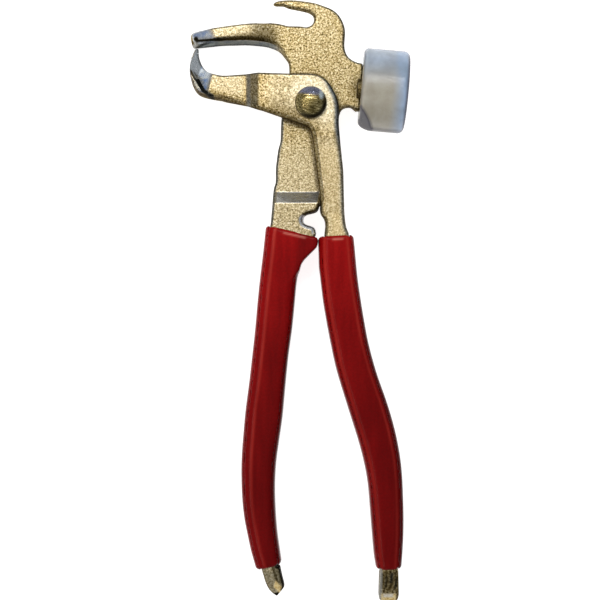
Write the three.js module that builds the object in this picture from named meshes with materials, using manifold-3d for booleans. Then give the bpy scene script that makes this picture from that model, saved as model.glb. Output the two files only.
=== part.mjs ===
// Wheel weight pliers: two drop-forged levers on one rivet, a nylon striking head and dipped grips.
// Tool frame (millimetres): the rivet's axis is Z through the origin, the levers lie in XY with the jaws
// towards -X, the striking head towards +X and the handles towards -Y. Z = 0 is the flat rear face.
import * as THREE from 'three';
import { mergeVertices } from 'three/addons/utils/BufferGeometryUtils.js';
import Module from 'manifold-3d';

const wasm = await Module();
wasm.setup();

// ---------------------------------------------------------------- driving dimensions
const GAP = 0.3;            // working clearance between neighbouring pieces
const PLATE_T = 6.0;        // head plate of the main lever, rear face to lap face
const JAW_Z0 = PLATE_T + GAP; // lap face of the jaw lever
const JAW_Z1 = 12.3;        // front face of the jaw lever at the rivet
const HANDLE_T = 10.5;      // steel thickness of shanks and handles
const NOSE_T = 8.2;         // thickness where the two jaws meet
const EDGE = 0.3;           // edge break on the forgings
const GRIP_WALL = 1.4;      // thickness of the dipped sleeve
const GRIP_ROUND = 3.6;     // corner rounding of the sleeve
const STEP_HI = -35.1;      // the shank's 45 degree step from lap to full thickness starts here
const STEP_LO = -39.6;
const JAW_FULL = -41.2;     // below this the jaw lever has its full thickness
const BAND_R = -21.4;       // joggle of the lower jaw: right and left ends of its slope
const BAND_L = -25.6;
const TIP_Y = -188;         // the ground point and blade start here, just past the grips
const RIVET_R = 4.0;        // rivet shank
const RIVET_HEAD_R = 6.3;   // domed head
const RIVET_DOME = 4.4;     // height of the domed head
const HAMMER = new THREE.Vector3(29.3, 5.44, 5.0); // middle of the nylon head
const HAMMER_TILT = -5;     // degrees, the hammer's axis to X
const HAMMER_R = 16.5;
const HAMMER_L = 18.4;
const BOSS_R = 8.7;         // round shoulder behind the nylon head, flush with the plate's lap face
const SPIGOT_R = 4.1;
const REST_TILT = 0.915;    // resting attitude, degrees about X
const REST_ROLL = -9.42;    // resting attitude, degrees about Y
const REST_SHIFT = [4.755, 78.335, 7.755]; // puts the origin under the middle of the resting tool

// ---------------------------------------------------------------- outlines, all run clockwise
// back of the claw, from its tip over the top and down to the hammer neck
const CLAW_BACK = [
  [-14.9, 40.4], [-14.5, 40.9], [-13.3, 41.5], [-10.7, 42], [-7.5, 42.1], [-4.3, 41.7], [1.5, 40.8],
  [5.5, 39.5], [8.6, 38.2], [10.8, 36.5], [12.4, 34.3], [13.5, 31.7], [13.9, 29.2], [13.7, 26.3],
  [13.6, 23.6], [14, 21.3], [15.2, 19.1], [17, 17.7], [19.2, 16.8],
];
// underside of the hammer neck, and the head plate edge that the jaw lever covers
const NECK_UNDER = [
  [19.1, -2.2], [18.1, -1.6], [15.7, -1.1], [13.9, -1.3], [12.5, -2.1], [11.7, -3.7], [10.8, -7.6],
  [9.2, -16], [7.2, -26.1], [5.2, -34.1], [4.2, -38.1], [3.8, -40.7],
];
// crimping notch: upper lip, throat, lower lip
const NOTCH = [
  [3.8, -40.7], [2.5, -43.1], [0.4, -43.9], [-1.3, -44.3], [-2.5, -45.1], [-2.9, -46.3], [-2.6,
  -47.5], [-1.7, -48.1], [1.1, -49.1], [1.9, -50.1], [2.3, -51.9],
];
// outer edge of the shank, back of the jaw gap and underside of the upper jaw
const LEFT_EDGE = [
  [-16, -47.6], [-15.4, -40.6], [-14.8, -33.6], [-14.1, -31.2], [-14, -25.6], [-13.5, -21.2], [-13,
  -17.8], [-12.2, -14.9], [-11.9, -8.3], [-11.7, -5.3], [-10.9, -0.5], [-9.6, 5.1], [-8.8, 10],
  [-8.6, 13.5], [-8.9, 16.6], [-10.1, 18.4], [-11.2, 19.8], [-12.2, 20.8], [-14.3, 21.9], [-17.2,
  22.9], [-21.2, 23.4], [-25.8, 23.7], [-30.5, 23.6], [-34.7, 23.5], [-40.5, 23], [-45.4, 22.6],
  [-47.3, 22.6],
];
// nose, top of the upper jaw, weight slot and inside of the claw
const NOSE_TOP = [
  [-47.3, 22.6], [-48, 24.2], [-48.1, 26.1], [-48, 27.7], [-47.3, 28.6], [-44.1, 29.4], [-36.9,
  30.6], [-28.1, 31.8], [-22.5, 32.3], [-18.9, 32.3], [-15.7, 32.5], [-11.7, 32.1], [-9.1, 31.6],
  [-6.1, 31.5], [-3.7, 31.4], [-1.9, 31.1], [-0, 31.7], [1.1, 33], [1.3, 34.7], [0.7, 36], [-0.6,
  36.9], [-2.9, 37.6], [-6.1, 38.3], [-8.9, 38.9], [-10.9, 39.8], [-12.7, 40], [-14.1, 40.1],
  [-14.8, 40.4], [-14.9, 40.4],
];
// hook tip, throat of the lower jaw, shoulder round the rivet and right edge of the shank
const JAW_TOP = [
  [-46.1, 22.28], [-45.4, 21.7], [-45.15, 19.8], [-44.6, 18], [-43.7, 16], [-42.4, 14.3], [-40.8, 13.2],
  [-38.2, 12.3], [-34.6, 11.7], [-30.1, 11.7], [-24.9, 11.8], [-19.9, 12.1], [-14.2, 11.9], [-6.3,
  11.7], [-1.9, 11.7], [1.4, 11.5], [3.9, 10.6], [6.1, 9.1], [7.8, 7.2], [9.1, 5], [10.3, 2.6], [11,
  -0], [11.3, -3.9], [11.2, -7.8], [11.7, -14.2], [12.4, -21.3], [13, -26.9], [13.2, -34.8], [13.4,
  -41], [13.8, -46.3], [14.3, -49.3], [15.2, -51.5],
];
// left edge of the shank, underside of the lower jaw and outside of the hook
const JAW_LEFT = [
  [5.5, -51.4], [5.8, -48.6], [5.3, -46.1], [4.2, -44.5], [3.7, -42.8], [3.7, -38], [3, -32.8],
  [2.4, -28.1], [1.1, -18.3], [0.5, -14.3], [-0.4, -10.8], [-1.5, -9.6], [-3.5, -8.7], [-11.1,
  -5.9], [-19.4, -3], [-26.1, -0.7], [-32.2, 0.9], [-37.4, 2.1], [-42.4, 3.2], [-44.7, 4.2], [-46.2,
  5.7], [-47.3, 7.8], [-48.3, 11.1], [-48.7, 13.8], [-48.6, 16.4], [-48.2, 18.9], [-47.3, 21.2],
  [-46.1, 22.28],
];
// left grip, upper rim
const LG_TOP = [
  [-16.8, -48.8], [-12.2, -50], [-4.3, -51.7], [0.5, -52.7], [2.5, -53.1],
];
// left grip, inner side
const LG_INNER = [
  [2.5, -53.1], [2.5, -54.7], [2.1, -56.8], [1.1, -58], [-1.1, -60.2], [-2.9, -62.1], [-4.1, -63.9],
  [-4.9, -66.4], [-5.7, -71.7], [-6.5, -80.3], [-7.4, -89.3], [-8.9, -100.3], [-10.2, -113.1],
  [-11.3, -124.9], [-12.7, -134.7], [-13.8, -142.9], [-14.3, -152.5], [-14, -162.9], [-13.3,
  -171.4], [-12.5, -177.1], [-11.7, -182.5],
];
// left grip, lower rim
const LG_END = [
  [-11.7, -182.5], [-12.1, -184.2], [-15.9, -185.5], [-19.5, -186.6], [-21.3, -185.9],
];
// left grip, outer side
const LG_OUTER = [
  [-21.3, -185.9], [-22.2, -184.1], [-23.9, -178.1], [-25.2, -172.1], [-26.4, -166.1], [-27.1,
  -160.7], [-27.5, -155.1], [-27.7, -146.3], [-27.5, -139.7], [-26.8, -130.7], [-26, -122.1],
  [-24.5, -110.7], [-23.4, -100.9], [-22.4, -92.1], [-20.7, -73.7], [-18.9, -58.5], [-18.4, -52.1],
  [-17.9, -49.7], [-16.8, -48.8],
];
// right grip, upper rim
const RG_TOP = [
  [3.3, -53], [5.7, -52.7], [10.8, -52.5], [14.4, -52.3], [16.3, -52.2],
];
// right grip, outer side
const RG_OUTER = [
  [16.3, -52.2], [17.2, -53.1], [17.6, -57.5], [18.7, -69.1], [20, -78.3], [21.5, -87.3], [23.1,
  -95.6], [26.3, -107.3], [30.5, -119.3], [33, -127.7], [34.6, -134.5], [35.9, -142.1], [36.6,
  -149.5], [36.9, -156.9], [37.1, -164.7], [37, -172.5], [36.7, -178.3], [36.3, -183.7],
];
// right grip, lower rim
const RG_END = [
  [36.3, -183.7], [35.6, -186.3], [30.9, -187], [27.1, -186.8],
];
// right grip, inner side
const RG_INNER = [
  [27.1, -186.8], [26.1, -184.9], [25.3, -180.1], [24.1, -166.3], [22.8, -151.3], [21.5, -143.9],
  [19.5, -135.9], [15.7, -123.7], [11.7, -110.9], [10, -104.9], [8, -95.7], [6.1, -85.7], [4.8,
  -77.7], [3.3, -64.9], [3, -57.5], [3, -54.7], [3.3, -53],
];
// point of the left handle, right side
const LT_RIGHT = [
  [-12.1, -183.1], [-11.9, -186.0], [-11.2, -189.2], [-10.5, -192.2], [-10.6, -193.3], [-11.9, -195.0],
  [-13.5, -197.0],
];
// point of the left handle, left side
const LT_LEFT = [
  [-13.5, -197.0], [-15.2, -195.8], [-16.9, -194.0], [-18.2, -191.3], [-20.1, -185.9],
];
// screwdriver blade, right side
const RT_RIGHT = [
  [35.5, -184.7], [35, -196.1], [34.6, -197.7], [33.9, -198.7],
];
// screwdriver blade, left side
const RT_LEFT = [
  [28.5, -198.7], [27.7, -197.7], [27.3, -195.3], [26.9, -185.5],
];

// ---------------------------------------------------------------- helpers
// smooth run through its points, thinned to a chord error of tol
function run(points, tol = 0.05) {
  const curve = new THREE.CatmullRomCurve3(points.map(([x, y]) => new THREE.Vector3(x, y, 0)), false, 'centripetal');
  const fine = [];
  for (let i = 0; i <= (points.length - 1) * 8; i++) {
    const p = curve.getPoint(i / ((points.length - 1) * 8));
    fine.push([p.x, p.y]);
  }
  return thin(fine, tol);
}

function thin(p, tol) {
  if (p.length < 3) return p;
  const [a, b] = [p[0], p[p.length - 1]];
  const l = Math.hypot(b[0] - a[0], b[1] - a[1]) || 1e-9;
  let far = 0, at = 0;
  for (let i = 1; i < p.length - 1; i++) {
    const d = Math.abs((p[i][0] - a[0]) * (b[1] - a[1]) - (p[i][1] - a[1]) * (b[0] - a[0])) / l;
    if (d > far) { far = d; at = i; }
  }
  if (far <= tol) return [a, b];
  return thin(p.slice(0, at + 1), tol).slice(0, -1).concat(thin(p.slice(at), tol));
}

// the same run moved sideways by d, to the right of its direction of travel (inwards on a clockwise outline)
function inset(points, d) {
  return points.map((p, i) => {
    const a = points[Math.max(i - 1, 0)], b = points[Math.min(i + 1, points.length - 1)];
    const l = Math.hypot(b[0] - a[0], b[1] - a[1]);
    return [p[0] + (b[1] - a[1]) / l * d, p[1] - (b[0] - a[0]) / l * d];
  });
}

function join(...runs) {
  const out = [];
  for (const p of runs.flat()) {
    const q = out[out.length - 1];
    if (!q || Math.hypot(p[0] - q[0], p[1] - q[1]) > 0.12) out.push(p);
  }
  while (Math.hypot(out[0][0] - out[out.length - 1][0], out[0][1] - out[out.length - 1][1]) < 0.12) out.pop();
  return out;
}

// a closed outline grown by d
function grow(points, d) {
  const n = points.length;
  return points.map((p, i) => {
    const a = points[(i + n - 1) % n], b = points[(i + 1) % n];
    const u = [p[0] - a[0], p[1] - a[1]], v = [b[0] - p[0], b[1] - p[1]];
    const lu = Math.hypot(...u), lv = Math.hypot(...v);
    const m = [-(u[1] / lu + v[1] / lv), u[0] / lu + v[0] / lv];
    const k = Math.max(0.5 * (m[0] * m[0] + m[1] * m[1]), 0.5);
    return [p[0] + m[0] / k * d, p[1] + m[1] / k * d];
  });
}

function solid(geometry) {
  let g = geometry.clone();
  g.deleteAttribute('normal');
  g.deleteAttribute('uv');
  g = mergeVertices(g, 1e-6);
  const vertProperties = new Float32Array(g.attributes.position.array);
  const triVerts = new Uint32Array(g.index.array);
  return new wasm.Manifold(new wasm.Mesh({ numProp: 3, vertProperties, triVerts }));
}

function prism(points, z0, z1, bevel = 0, segments = 1) {
  const shape = new THREE.Shape(points.map(([x, y]) => new THREE.Vector2(x, y)));
  const g = new THREE.ExtrudeGeometry(shape, {
    depth: z1 - z0 - 2 * bevel, steps: 1, curveSegments: 1, bevelEnabled: bevel > 0,
    bevelThickness: bevel, bevelSize: bevel, bevelOffset: -bevel, bevelSegments: segments,
  });
  g.translate(0, 0, z0 + bevel);
  return solid(g);
}

function block(x0, x1, y0, y1, z0, z1) {
  const g = new THREE.BoxGeometry(x1 - x0, y1 - y0, z1 - z0);
  g.translate((x0 + x1) / 2, (y0 + y1) / 2, (z0 + z1) / 2);
  return solid(g);
}

// everything on the side of a plane that its normal points to
function beyond(point, normal, size = 400) {
  const n = new THREE.Vector3(...normal).normalize();
  const g = new THREE.BoxGeometry(size, size, size);
  g.translate(0, 0, size / 2);
  g.applyQuaternion(new THREE.Quaternion().setFromUnitVectors(new THREE.Vector3(0, 0, 1), n));
  g.translate(...point);
  return solid(g);
}

// a turned piece, profile of [radius, z] pairs from axis to axis
function turned(profile, sides = 48) {
  return solid(new THREE.LatheGeometry(profile.map(([r, z]) => new THREE.Vector2(r, z)), sides).rotateX(Math.PI / 2));
}

function ring(r0, r1, z0, z1, sides = 48) {
  return solid(new THREE.LatheGeometry([[r0, z0], [r1, z0], [r1, z1], [r0, z1], [r0, z0]]
    .map(([r, z]) => new THREE.Vector2(r, z)), sides).rotateX(Math.PI / 2));
}

// LatheGeometry turns about Y; rotateX(90) sends +Y to +Z. Moves a solid made along Z onto the hammer's axis.
const hammerFrame = new THREE.Matrix4()
  .makeTranslation(HAMMER.x, HAMMER.y, HAMMER.z)
  .multiply(new THREE.Matrix4().makeRotationZ(THREE.MathUtils.degToRad(HAMMER_TILT)))
  .multiply(new THREE.Matrix4().makeRotationY(Math.PI / 2));

function geometryOf(manifold) {
  const m = manifold.getMesh();
  const g = new THREE.BufferGeometry();
  const p = new Float32Array(m.numVert * 3);
  for (let i = 0; i < m.numVert; i++) for (let k = 0; k < 3; k++) p[3 * i + k] = m.vertProperties[i * m.numProp + k];
  g.setAttribute('position', new THREE.BufferAttribute(p, 3));
  g.setIndex(new THREE.BufferAttribute(new Uint32Array(m.triVerts), 1));
  g.computeVertexNormals();
  return g;
}

function onHammer(manifold) {
  return solid(geometryOf(manifold).applyMatrix4(hammerFrame));
}

// ---------------------------------------------------------------- steel outlines
const SLEEVE = GRIP_WALL + GAP; // from the outside of a grip to the steel in it
const plateEnd = [[20.7, 16.3], [19.08, -2.3]]; // along the nylon head's inner face
const mainOutline = join(
  run(CLAW_BACK), plateEnd, run(NECK_UNDER), run(NOTCH),
  run(inset(LG_INNER.slice(3), SLEEVE)), [[-13.5, -184.4], [-12.2, -185.0]], run(LT_RIGHT.slice(1)), run(LT_LEFT.slice(0, -1)),
  run(inset(LG_OUTER.slice(0, -2), SLEEVE)), run(LEFT_EDGE), run(NOSE_TOP));
const jawOutline = join(
  run(JAW_TOP), run(inset(RG_OUTER.slice(2), SLEEVE)), run(RT_RIGHT.slice(1)), run(RT_LEFT.slice(0, -1)),
  run(inset(RG_INNER.slice(1, -3), SLEEVE)), run(JAW_LEFT));
// grips run past both rims here and are cut to length below
const leftGripOutline = join([[-17.4, -44], [-2.9, -44]], run([[-3.3, -50], [-4.0, -58], ...LG_INNER.slice(7)]),
  [[-10.6, -191], [-20.4, -191]], run(LG_OUTER.slice(1, -3)));
const rightGripOutline = join([[2.8, -44], [16.2, -44]], run(RG_OUTER.slice(2)), [[35.4, -194], [28.2, -194]],
  run(RG_INNER.slice(1, -3)));
const spurOutline = join([[-9, -50.4]], [LG_TOP[4]], run(LG_INNER.slice(0, 8)), [[-9, -72]]);

// ---------------------------------------------------------------- main lever
function mainLever(extra) {
  const outline = extra ? grow(mainOutline, extra) : mainOutline;
  const e = extra;
  // shank and handle at full thickness, stepped down at 45 degrees to the lap face
  let thick = prism(outline, -e, HANDLE_T + e, EDGE).intersect(block(-60, 60, -230, STEP_HI, -5, 20));
  thick = thick.subtract(beyond([0, STEP_HI, PLATE_T + e], [0, HANDLE_T - PLATE_T, STEP_HI - STEP_LO]));
  return thick;
}
let main = prism(mainOutline, 0, PLATE_T, EDGE).add(mainLever(0));
// upper jaw swells to the nose
main = main.add(prism(mainOutline, 0, NOSE_T, EDGE)
  .intersect(block(-60, -14, 15, 36, -1, 20))
  .subtract(beyond([-14, 0, PLATE_T], [NOSE_T - PLATE_T, 0, 9])));
// lap recess that the jaw lever lies in
main = main.subtract(prism(grow(jawOutline, GAP), PLATE_T, 20).intersect(block(-20, 30, -60, 20, 0, 20)));
// contact face beside the jaw lever's shank
main = main.subtract(prism(grow(jawOutline, GAP), -2, 20).intersect(block(-5, 30, -53, JAW_FULL + GAP, -5, 20)));
// claw thinned to its tip
main = main.subtract(beyond([-2, 0, PLATE_T], [-2.2, 0, 13]).intersect(block(-30, 2, 33, 50, 0, 10)));
// point of the handle, ground on both faces
main = main.subtract(beyond([0, TIP_Y, HANDLE_T], [0, -4.2, 8.9]).intersect(block(-40, 0, -210, TIP_Y, -5, 20)));
main = main.subtract(beyond([0, TIP_Y, 0], [0, -4.2, -8.9]).intersect(block(-40, 0, -210, TIP_Y, -5, 20)));
// boss and spigot for the nylon head
const bossEnd = -HAMMER_L / 2 - GAP; // along the hammer's axis
main = main.add(onHammer(turned([[0, bossEnd - 6.5], [3.2, bossEnd - 6.5], [5.6, bossEnd - 4.2], [7.9, bossEnd - 2.0],
  [BOSS_R, bossEnd - 1.0], [BOSS_R, bossEnd], [0, bossEnd]])).intersect(block(0, 60, -30, 30, -20, PLATE_T)));
main = main.add(onHammer(turned([[0, bossEnd - 1.3], [SPIGOT_R - 0.4, bossEnd - 1.3], [SPIGOT_R, bossEnd - 0.9], [SPIGOT_R, 1.5], [0, 1.5]])));
main = main.subtract(onHammer(turned([[0, -8], [2.5 + GAP, -8], [2.5 + GAP, 3], [0, 3]], 32)));
// rivet hole and countersink
main = main.subtract(turned([[0, -1], [7.3, -1], [6.3, 0], [RIVET_R + GAP, 2.3], [RIVET_R + GAP, 8], [0, 8]]));

// ---------------------------------------------------------------- jaw lever
let jaw = prism(jawOutline, 0, JAW_Z1);
// lap recess, open towards the main lever's head plate
jaw = jaw.subtract(block(BAND_L + 0.6, 40, JAW_FULL, 30, -2, JAW_Z0));
jaw = jaw.subtract(beyond([BAND_L - 2.5, 0, 0], [JAW_Z0, 0, -3.1]).intersect(block(BAND_L - 3, BAND_L + 0.7, -30, 30, -2, JAW_Z0)));
// joggle: the lower jaw steps back to the thickness of the nose
jaw = jaw.subtract(block(-60, BAND_L, -20, 30, NOSE_T, 20));
jaw = jaw.subtract(beyond([BAND_L, 0, NOSE_T], [-(JAW_Z1 - NOSE_T), 0, BAND_R - BAND_L]).intersect(block(BAND_L - 0.5, BAND_R, -20, 30, NOSE_T - 0.5, 20)));
// front face falls to the handle's thickness
jaw = jaw.subtract(beyond([0, -14, JAW_Z1], [0, -(JAW_Z1 - HANDLE_T), 30]).intersect(block(-10, 40, -44, -14, 0, 30)));
jaw = jaw.subtract(block(-10, 60, -220, -43.5, HANDLE_T, 30));
// screwdriver blade
jaw = jaw.subtract(beyond([0, TIP_Y, HANDLE_T], [0, -4.2, 10.7]).intersect(block(10, 50, -210, TIP_Y, -5, 20)));
jaw = jaw.subtract(beyond([0, TIP_Y, 0], [0, -5.15, -10.7]).intersect(block(10, 50, -210, TIP_Y, -5, 20)));
jaw = jaw.subtract(ring(0, RIVET_R + GAP, 0, 20));

// ---------------------------------------------------------------- rivet
const zHead = JAW_Z1 + GAP;
const dome = [];
for (let i = 0; i <= 8; i++) {
  const a = i / 8 * Math.PI / 2;
  dome.push([RIVET_HEAD_R * Math.cos(a), zHead + 1.0 + (RIVET_DOME - 1.0) * Math.sin(a)]);
}
dome[8][0] = 0;
const rivet = turned([[0, 0], [6.0, 0], [RIVET_R, 2.3], [RIVET_R, zHead], [RIVET_HEAD_R, zHead], ...dome]);

// ---------------------------------------------------------------- nylon head, washer and screw
const h = HAMMER_L / 2, ch = 1.2;
const faceSink = 4.2;       // depth of the screw's counterbore in the striking face
let head = onHammer(turned([[0, -h], [HAMMER_R - ch, -h], [HAMMER_R, -h + ch], [HAMMER_R, h - ch], [HAMMER_R - ch, h], [0, h]], 64));
head = head.subtract(onHammer(turned([[0, -h - 1], [SPIGOT_R + GAP, -h - 1], [SPIGOT_R + GAP, 1.8], [2.8, 1.8], [2.8, h - faceSink],
  [7.0, h - faceSink], [7.0, h + 1], [0, h + 1]], 40)));
// clearance cut for the jaw lever's shank when the handles are spread
const cutNormal = new THREE.Vector3(-0.755, -0.635, 0.164);
head = head.subtract(beyond([23.3, -10.5, 5.0], cutNormal.toArray()));
const washer = onHammer(ring(2.8, 6.4, h - faceSink + GAP, h - faceSink + GAP + 1.0, 40));
const screwTop = h - 0.2, screwUnder = h - faceSink + 2 * GAP + 1.0;
const hex = new THREE.CylinderGeometry(1.7, 1.7, 3, 6).rotateX(Math.PI / 2).translate(0, 0, screwTop + 0.1);
const screw = onHammer(turned([[0, -7], [2.5, -7], [2.5, screwUnder], [4.7, screwUnder], [4.7, screwTop - 0.6],
  [4.1, screwTop], [0, screwTop]], 32).subtract(solid(hex)));

// ---------------------------------------------------------------- grips
function sleeve(skin, steel, rims) {
  for (const [point, normal] of rims) skin = skin.subtract(beyond(point, normal));
  return skin.subtract(prism(grow(steel, GAP), -GAP, HANDLE_T + GAP));
}
const skinOf = outline => prism(outline, -GRIP_WALL, HANDLE_T + GRIP_WALL, GRIP_ROUND, 3);
// the left grip has a spur that closes against the right one
const leftGrip = sleeve(skinOf(leftGripOutline).add(prism(spurOutline, -GRIP_WALL, HANDLE_T + GRIP_WALL, 0.9)), mainOutline,
  [[[-16.8, -48.7, 0], [4.4, 19.25, 0]], [[-12.2, -183.6, 0], [1.9, -7.7, 0]]]);
const rightGrip = sleeve(skinOf(rightGripOutline), jawOutline,
  [[[3.3, -53.0, 0], [-0.7, 13, 0]], [[31.5, -185.5, 0], [0.3, -8.5, 0]]]);

// ---------------------------------------------------------------- the assembly
const gold = () => new THREE.MeshStandardMaterial({ color: 0xb9ad84, roughness: 0.45, metalness: 0.9 });
const red = () => new THREE.MeshStandardMaterial({ color: 0xa01414, roughness: 0.3, metalness: 0.0 });
const steelBright = () => new THREE.MeshStandardMaterial({ color: 0xb8b8b4, roughness: 0.35, metalness: 1.0 });

function piece(name, manifold, material) {
  const mesh = new THREE.Mesh(geometryOf(manifold), material);
  mesh.name = name;
  return mesh;
}

const tool = new THREE.Group();
tool.add(piece('main_lever', main, gold()));
tool.add(piece('pivot_rivet', rivet, new THREE.MeshStandardMaterial({ color: 0x8c7c50, roughness: 0.3, metalness: 1.0 })));
tool.add(piece('hammer_head', head, new THREE.MeshStandardMaterial({ color: 0xe4e9ea, roughness: 0.4, metalness: 0.0 })));
tool.add(piece('hammer_washer', washer, steelBright()));
tool.add(piece('hammer_screw', screw, steelBright()));
tool.add(piece('left_grip', leftGrip, red()));
tool.add(piece('jaw_lever', jaw, gold()));
tool.add(piece('right_grip', rightGrip, red()));

// resting attitude on a bench: nylon head, jaw tips and left handle touch it
const group = new THREE.Group();
const attitude = new THREE.Group();
attitude.rotation.set(THREE.MathUtils.degToRad(REST_TILT), THREE.MathUtils.degToRad(REST_ROLL), 0, 'YXZ');
attitude.position.set(...REST_SHIFT);
attitude.add(tool);
group.add(attitude);
group.updateMatrixWorld(true);

export default group;
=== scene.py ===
"""Wheel weight pliers: the finished surfaces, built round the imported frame."""
import math

import bpy
import numpy as np
from mathutils import Matrix, Vector


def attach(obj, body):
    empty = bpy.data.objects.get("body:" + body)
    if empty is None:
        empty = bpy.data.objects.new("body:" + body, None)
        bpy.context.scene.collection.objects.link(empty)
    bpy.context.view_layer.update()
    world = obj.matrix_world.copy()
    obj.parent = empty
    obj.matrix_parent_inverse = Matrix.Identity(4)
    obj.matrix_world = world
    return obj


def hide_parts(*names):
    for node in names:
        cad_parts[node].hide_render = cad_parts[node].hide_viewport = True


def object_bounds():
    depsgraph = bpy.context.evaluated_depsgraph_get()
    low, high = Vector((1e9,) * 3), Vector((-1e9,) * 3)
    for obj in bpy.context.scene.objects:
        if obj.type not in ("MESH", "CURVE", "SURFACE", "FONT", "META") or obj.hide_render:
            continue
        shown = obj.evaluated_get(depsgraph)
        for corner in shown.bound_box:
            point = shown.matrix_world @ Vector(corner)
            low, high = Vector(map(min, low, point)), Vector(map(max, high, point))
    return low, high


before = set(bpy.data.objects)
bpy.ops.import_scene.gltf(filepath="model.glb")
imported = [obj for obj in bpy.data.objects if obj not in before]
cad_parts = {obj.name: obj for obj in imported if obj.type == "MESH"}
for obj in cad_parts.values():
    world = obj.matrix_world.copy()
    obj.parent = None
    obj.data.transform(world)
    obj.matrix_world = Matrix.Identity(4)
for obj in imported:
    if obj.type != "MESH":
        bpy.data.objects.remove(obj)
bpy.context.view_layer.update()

# ------------------------------------------------------------------ the tool frame
# The levers are described in the tool's own frame, in millimetres: the rivet's axis is Z, the jaws point
# to -X and the handles to -Y. TOOL puts that frame on the bench as the CAD model lies there.
TILT, ROLL, SHIFT = math.radians(0.915), math.radians(-9.42), (4.755, 78.335, 7.755)
TOOL = (Matrix.Translation(Vector(SHIFT) / 1000) @ Matrix.Rotation(ROLL, 4, "Y")
        @ Matrix.Rotation(TILT, 4, "X") @ Matrix.Scale(0.001, 4))
TOOL_NP = np.array(TOOL)

PLATE_T, JAW_Z0, JAW_Z1, HANDLE_T, NOSE_T = 6.0, 6.06, 12.3, 10.5, 8.2
STEP_HI, STEP_LO, JAW_FULL = -35.1, -39.6, -41.2
BAND_R, BAND_L, TIP_Y = -21.4, -25.6, -188.0
WALL = 1.4
HAMMER, HAMMER_TILT, HAMMER_R, HAMMER_L = (29.3, 5.44, 5.0), math.radians(-5), 16.4, 18.4

# outlines, each run clockwise
CLAW_BACK = [
    (-14.9, 40.4), (-14.5, 40.9), (-13.3, 41.5), (-10.7, 42), (-7.5, 42.1), (-4.3, 41.7), (1.5, 40.8), (5.5,
    39.5), (8.6, 38.2), (10.8, 36.5), (12.4, 34.3), (13.5, 31.7), (13.9, 29.2), (13.7, 26.3), (13.6, 23.6),
    (14, 21.3), (15.2, 19.1), (17, 17.7), (19.2, 16.8),
]
NECK_UNDER = [
    (19.1, -2.2), (18.1, -1.6), (15.7, -1.1), (13.9, -1.3), (12.5, -2.1), (11.7, -3.7), (10.8, -7.6), (9.2,
    -16), (7.2, -26.1), (5.2, -34.1), (4.2, -38.1), (3.8, -40.7),
]
NOTCH = [
    (3.8, -40.7), (2.5, -43.1), (0.4, -43.9), (-1.3, -44.3), (-2.5, -45.1), (-2.9, -46.3), (-2.6, -47.5),
    (-1.7, -48.1), (1.1, -49.1), (1.9, -50.1), (2.3, -51.9),
]
LEFT_EDGE = [
    (-16, -47.6), (-15.4, -40.6), (-14.8, -33.6), (-14.1, -31.2), (-14, -25.6), (-13.5, -21.2), (-13, -17.8),
    (-12.2, -14.9), (-11.9, -8.3), (-11.7, -5.3), (-10.9, -0.5), (-9.6, 5.1), (-8.8, 10), (-8.6, 13.5), (-8.9,
    16.6), (-10.1, 18.4), (-11.2, 19.8), (-12.2, 20.8), (-14.3, 21.9), (-17.2, 22.9), (-21.2, 23.4), (-25.8,
    23.7), (-30.5, 23.6), (-34.7, 23.5), (-40.5, 23), (-45.4, 22.6), (-47.3, 22.6),
]
NOSE_TOP = [
    (-47.3, 22.6), (-48, 24.2), (-48.1, 26.1), (-48, 27.7), (-47.3, 28.6), (-44.1, 29.4), (-36.9, 30.6),
    (-28.1, 31.8), (-22.5, 32.3), (-18.9, 32.3), (-15.7, 32.5), (-11.7, 32.1), (-9.1, 31.6), (-6.1, 31.5),
    (-3.7, 31.4), (-1.9, 31.1), (-0, 31.7), (1.1, 33), (1.3, 34.7), (0.7, 36), (-0.6, 36.9), (-2.9, 37.6),
    (-6.1, 38.3), (-8.9, 38.9), (-10.9, 39.8), (-12.7, 40), (-14.1, 40.1), (-14.8, 40.4), (-14.9, 40.4),
]
JAW_TOP = [
    (-46.1, 22.28), (-45.4, 21.7), (-45.15, 19.8), (-44.6, 18), (-43.7, 16), (-42.4, 14.3), (-40.8, 13.2), (-38.2,
    12.3), (-34.6, 11.7), (-30.1, 11.7), (-24.9, 11.8), (-19.9, 12.1), (-14.2, 11.9), (-6.3, 11.7), (-1.9,
    11.7), (1.4, 11.5), (3.9, 10.6), (6.1, 9.1), (7.8, 7.2), (9.1, 5), (10.3, 2.6), (11, -0), (11.3, -3.9),
    (11.2, -7.8), (11.7, -14.2), (12.4, -21.3), (13, -26.9), (13.2, -34.8), (13.4, -41), (13.8, -46.3), (14.3,
    -49.3), (15.2, -51.5),
]
JAW_LEFT = [
    (5.5, -51.4), (5.8, -48.6), (5.3, -46.1), (4.2, -44.5), (3.7, -42.8), (3.7, -38), (3, -32.8), (2.4,
    -28.1), (1.1, -18.3), (0.5, -14.3), (-0.4, -10.8), (-1.5, -9.6), (-3.5, -8.7), (-11.1, -5.9), (-19.4, -3),
    (-26.1, -0.7), (-32.2, 0.9), (-37.4, 2.1), (-42.4, 3.2), (-44.7, 4.2), (-46.2, 5.7), (-47.3, 7.8), (-48.3,
    11.1), (-48.7, 13.8), (-48.6, 16.4), (-48.2, 18.9), (-47.3, 21.2), (-46.1, 22.28),
]
LG_TOP = [
    (-16.8, -48.8), (-12.2, -50), (-4.3, -51.7), (0.5, -52.7), (2.5, -53.1),
]
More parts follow.
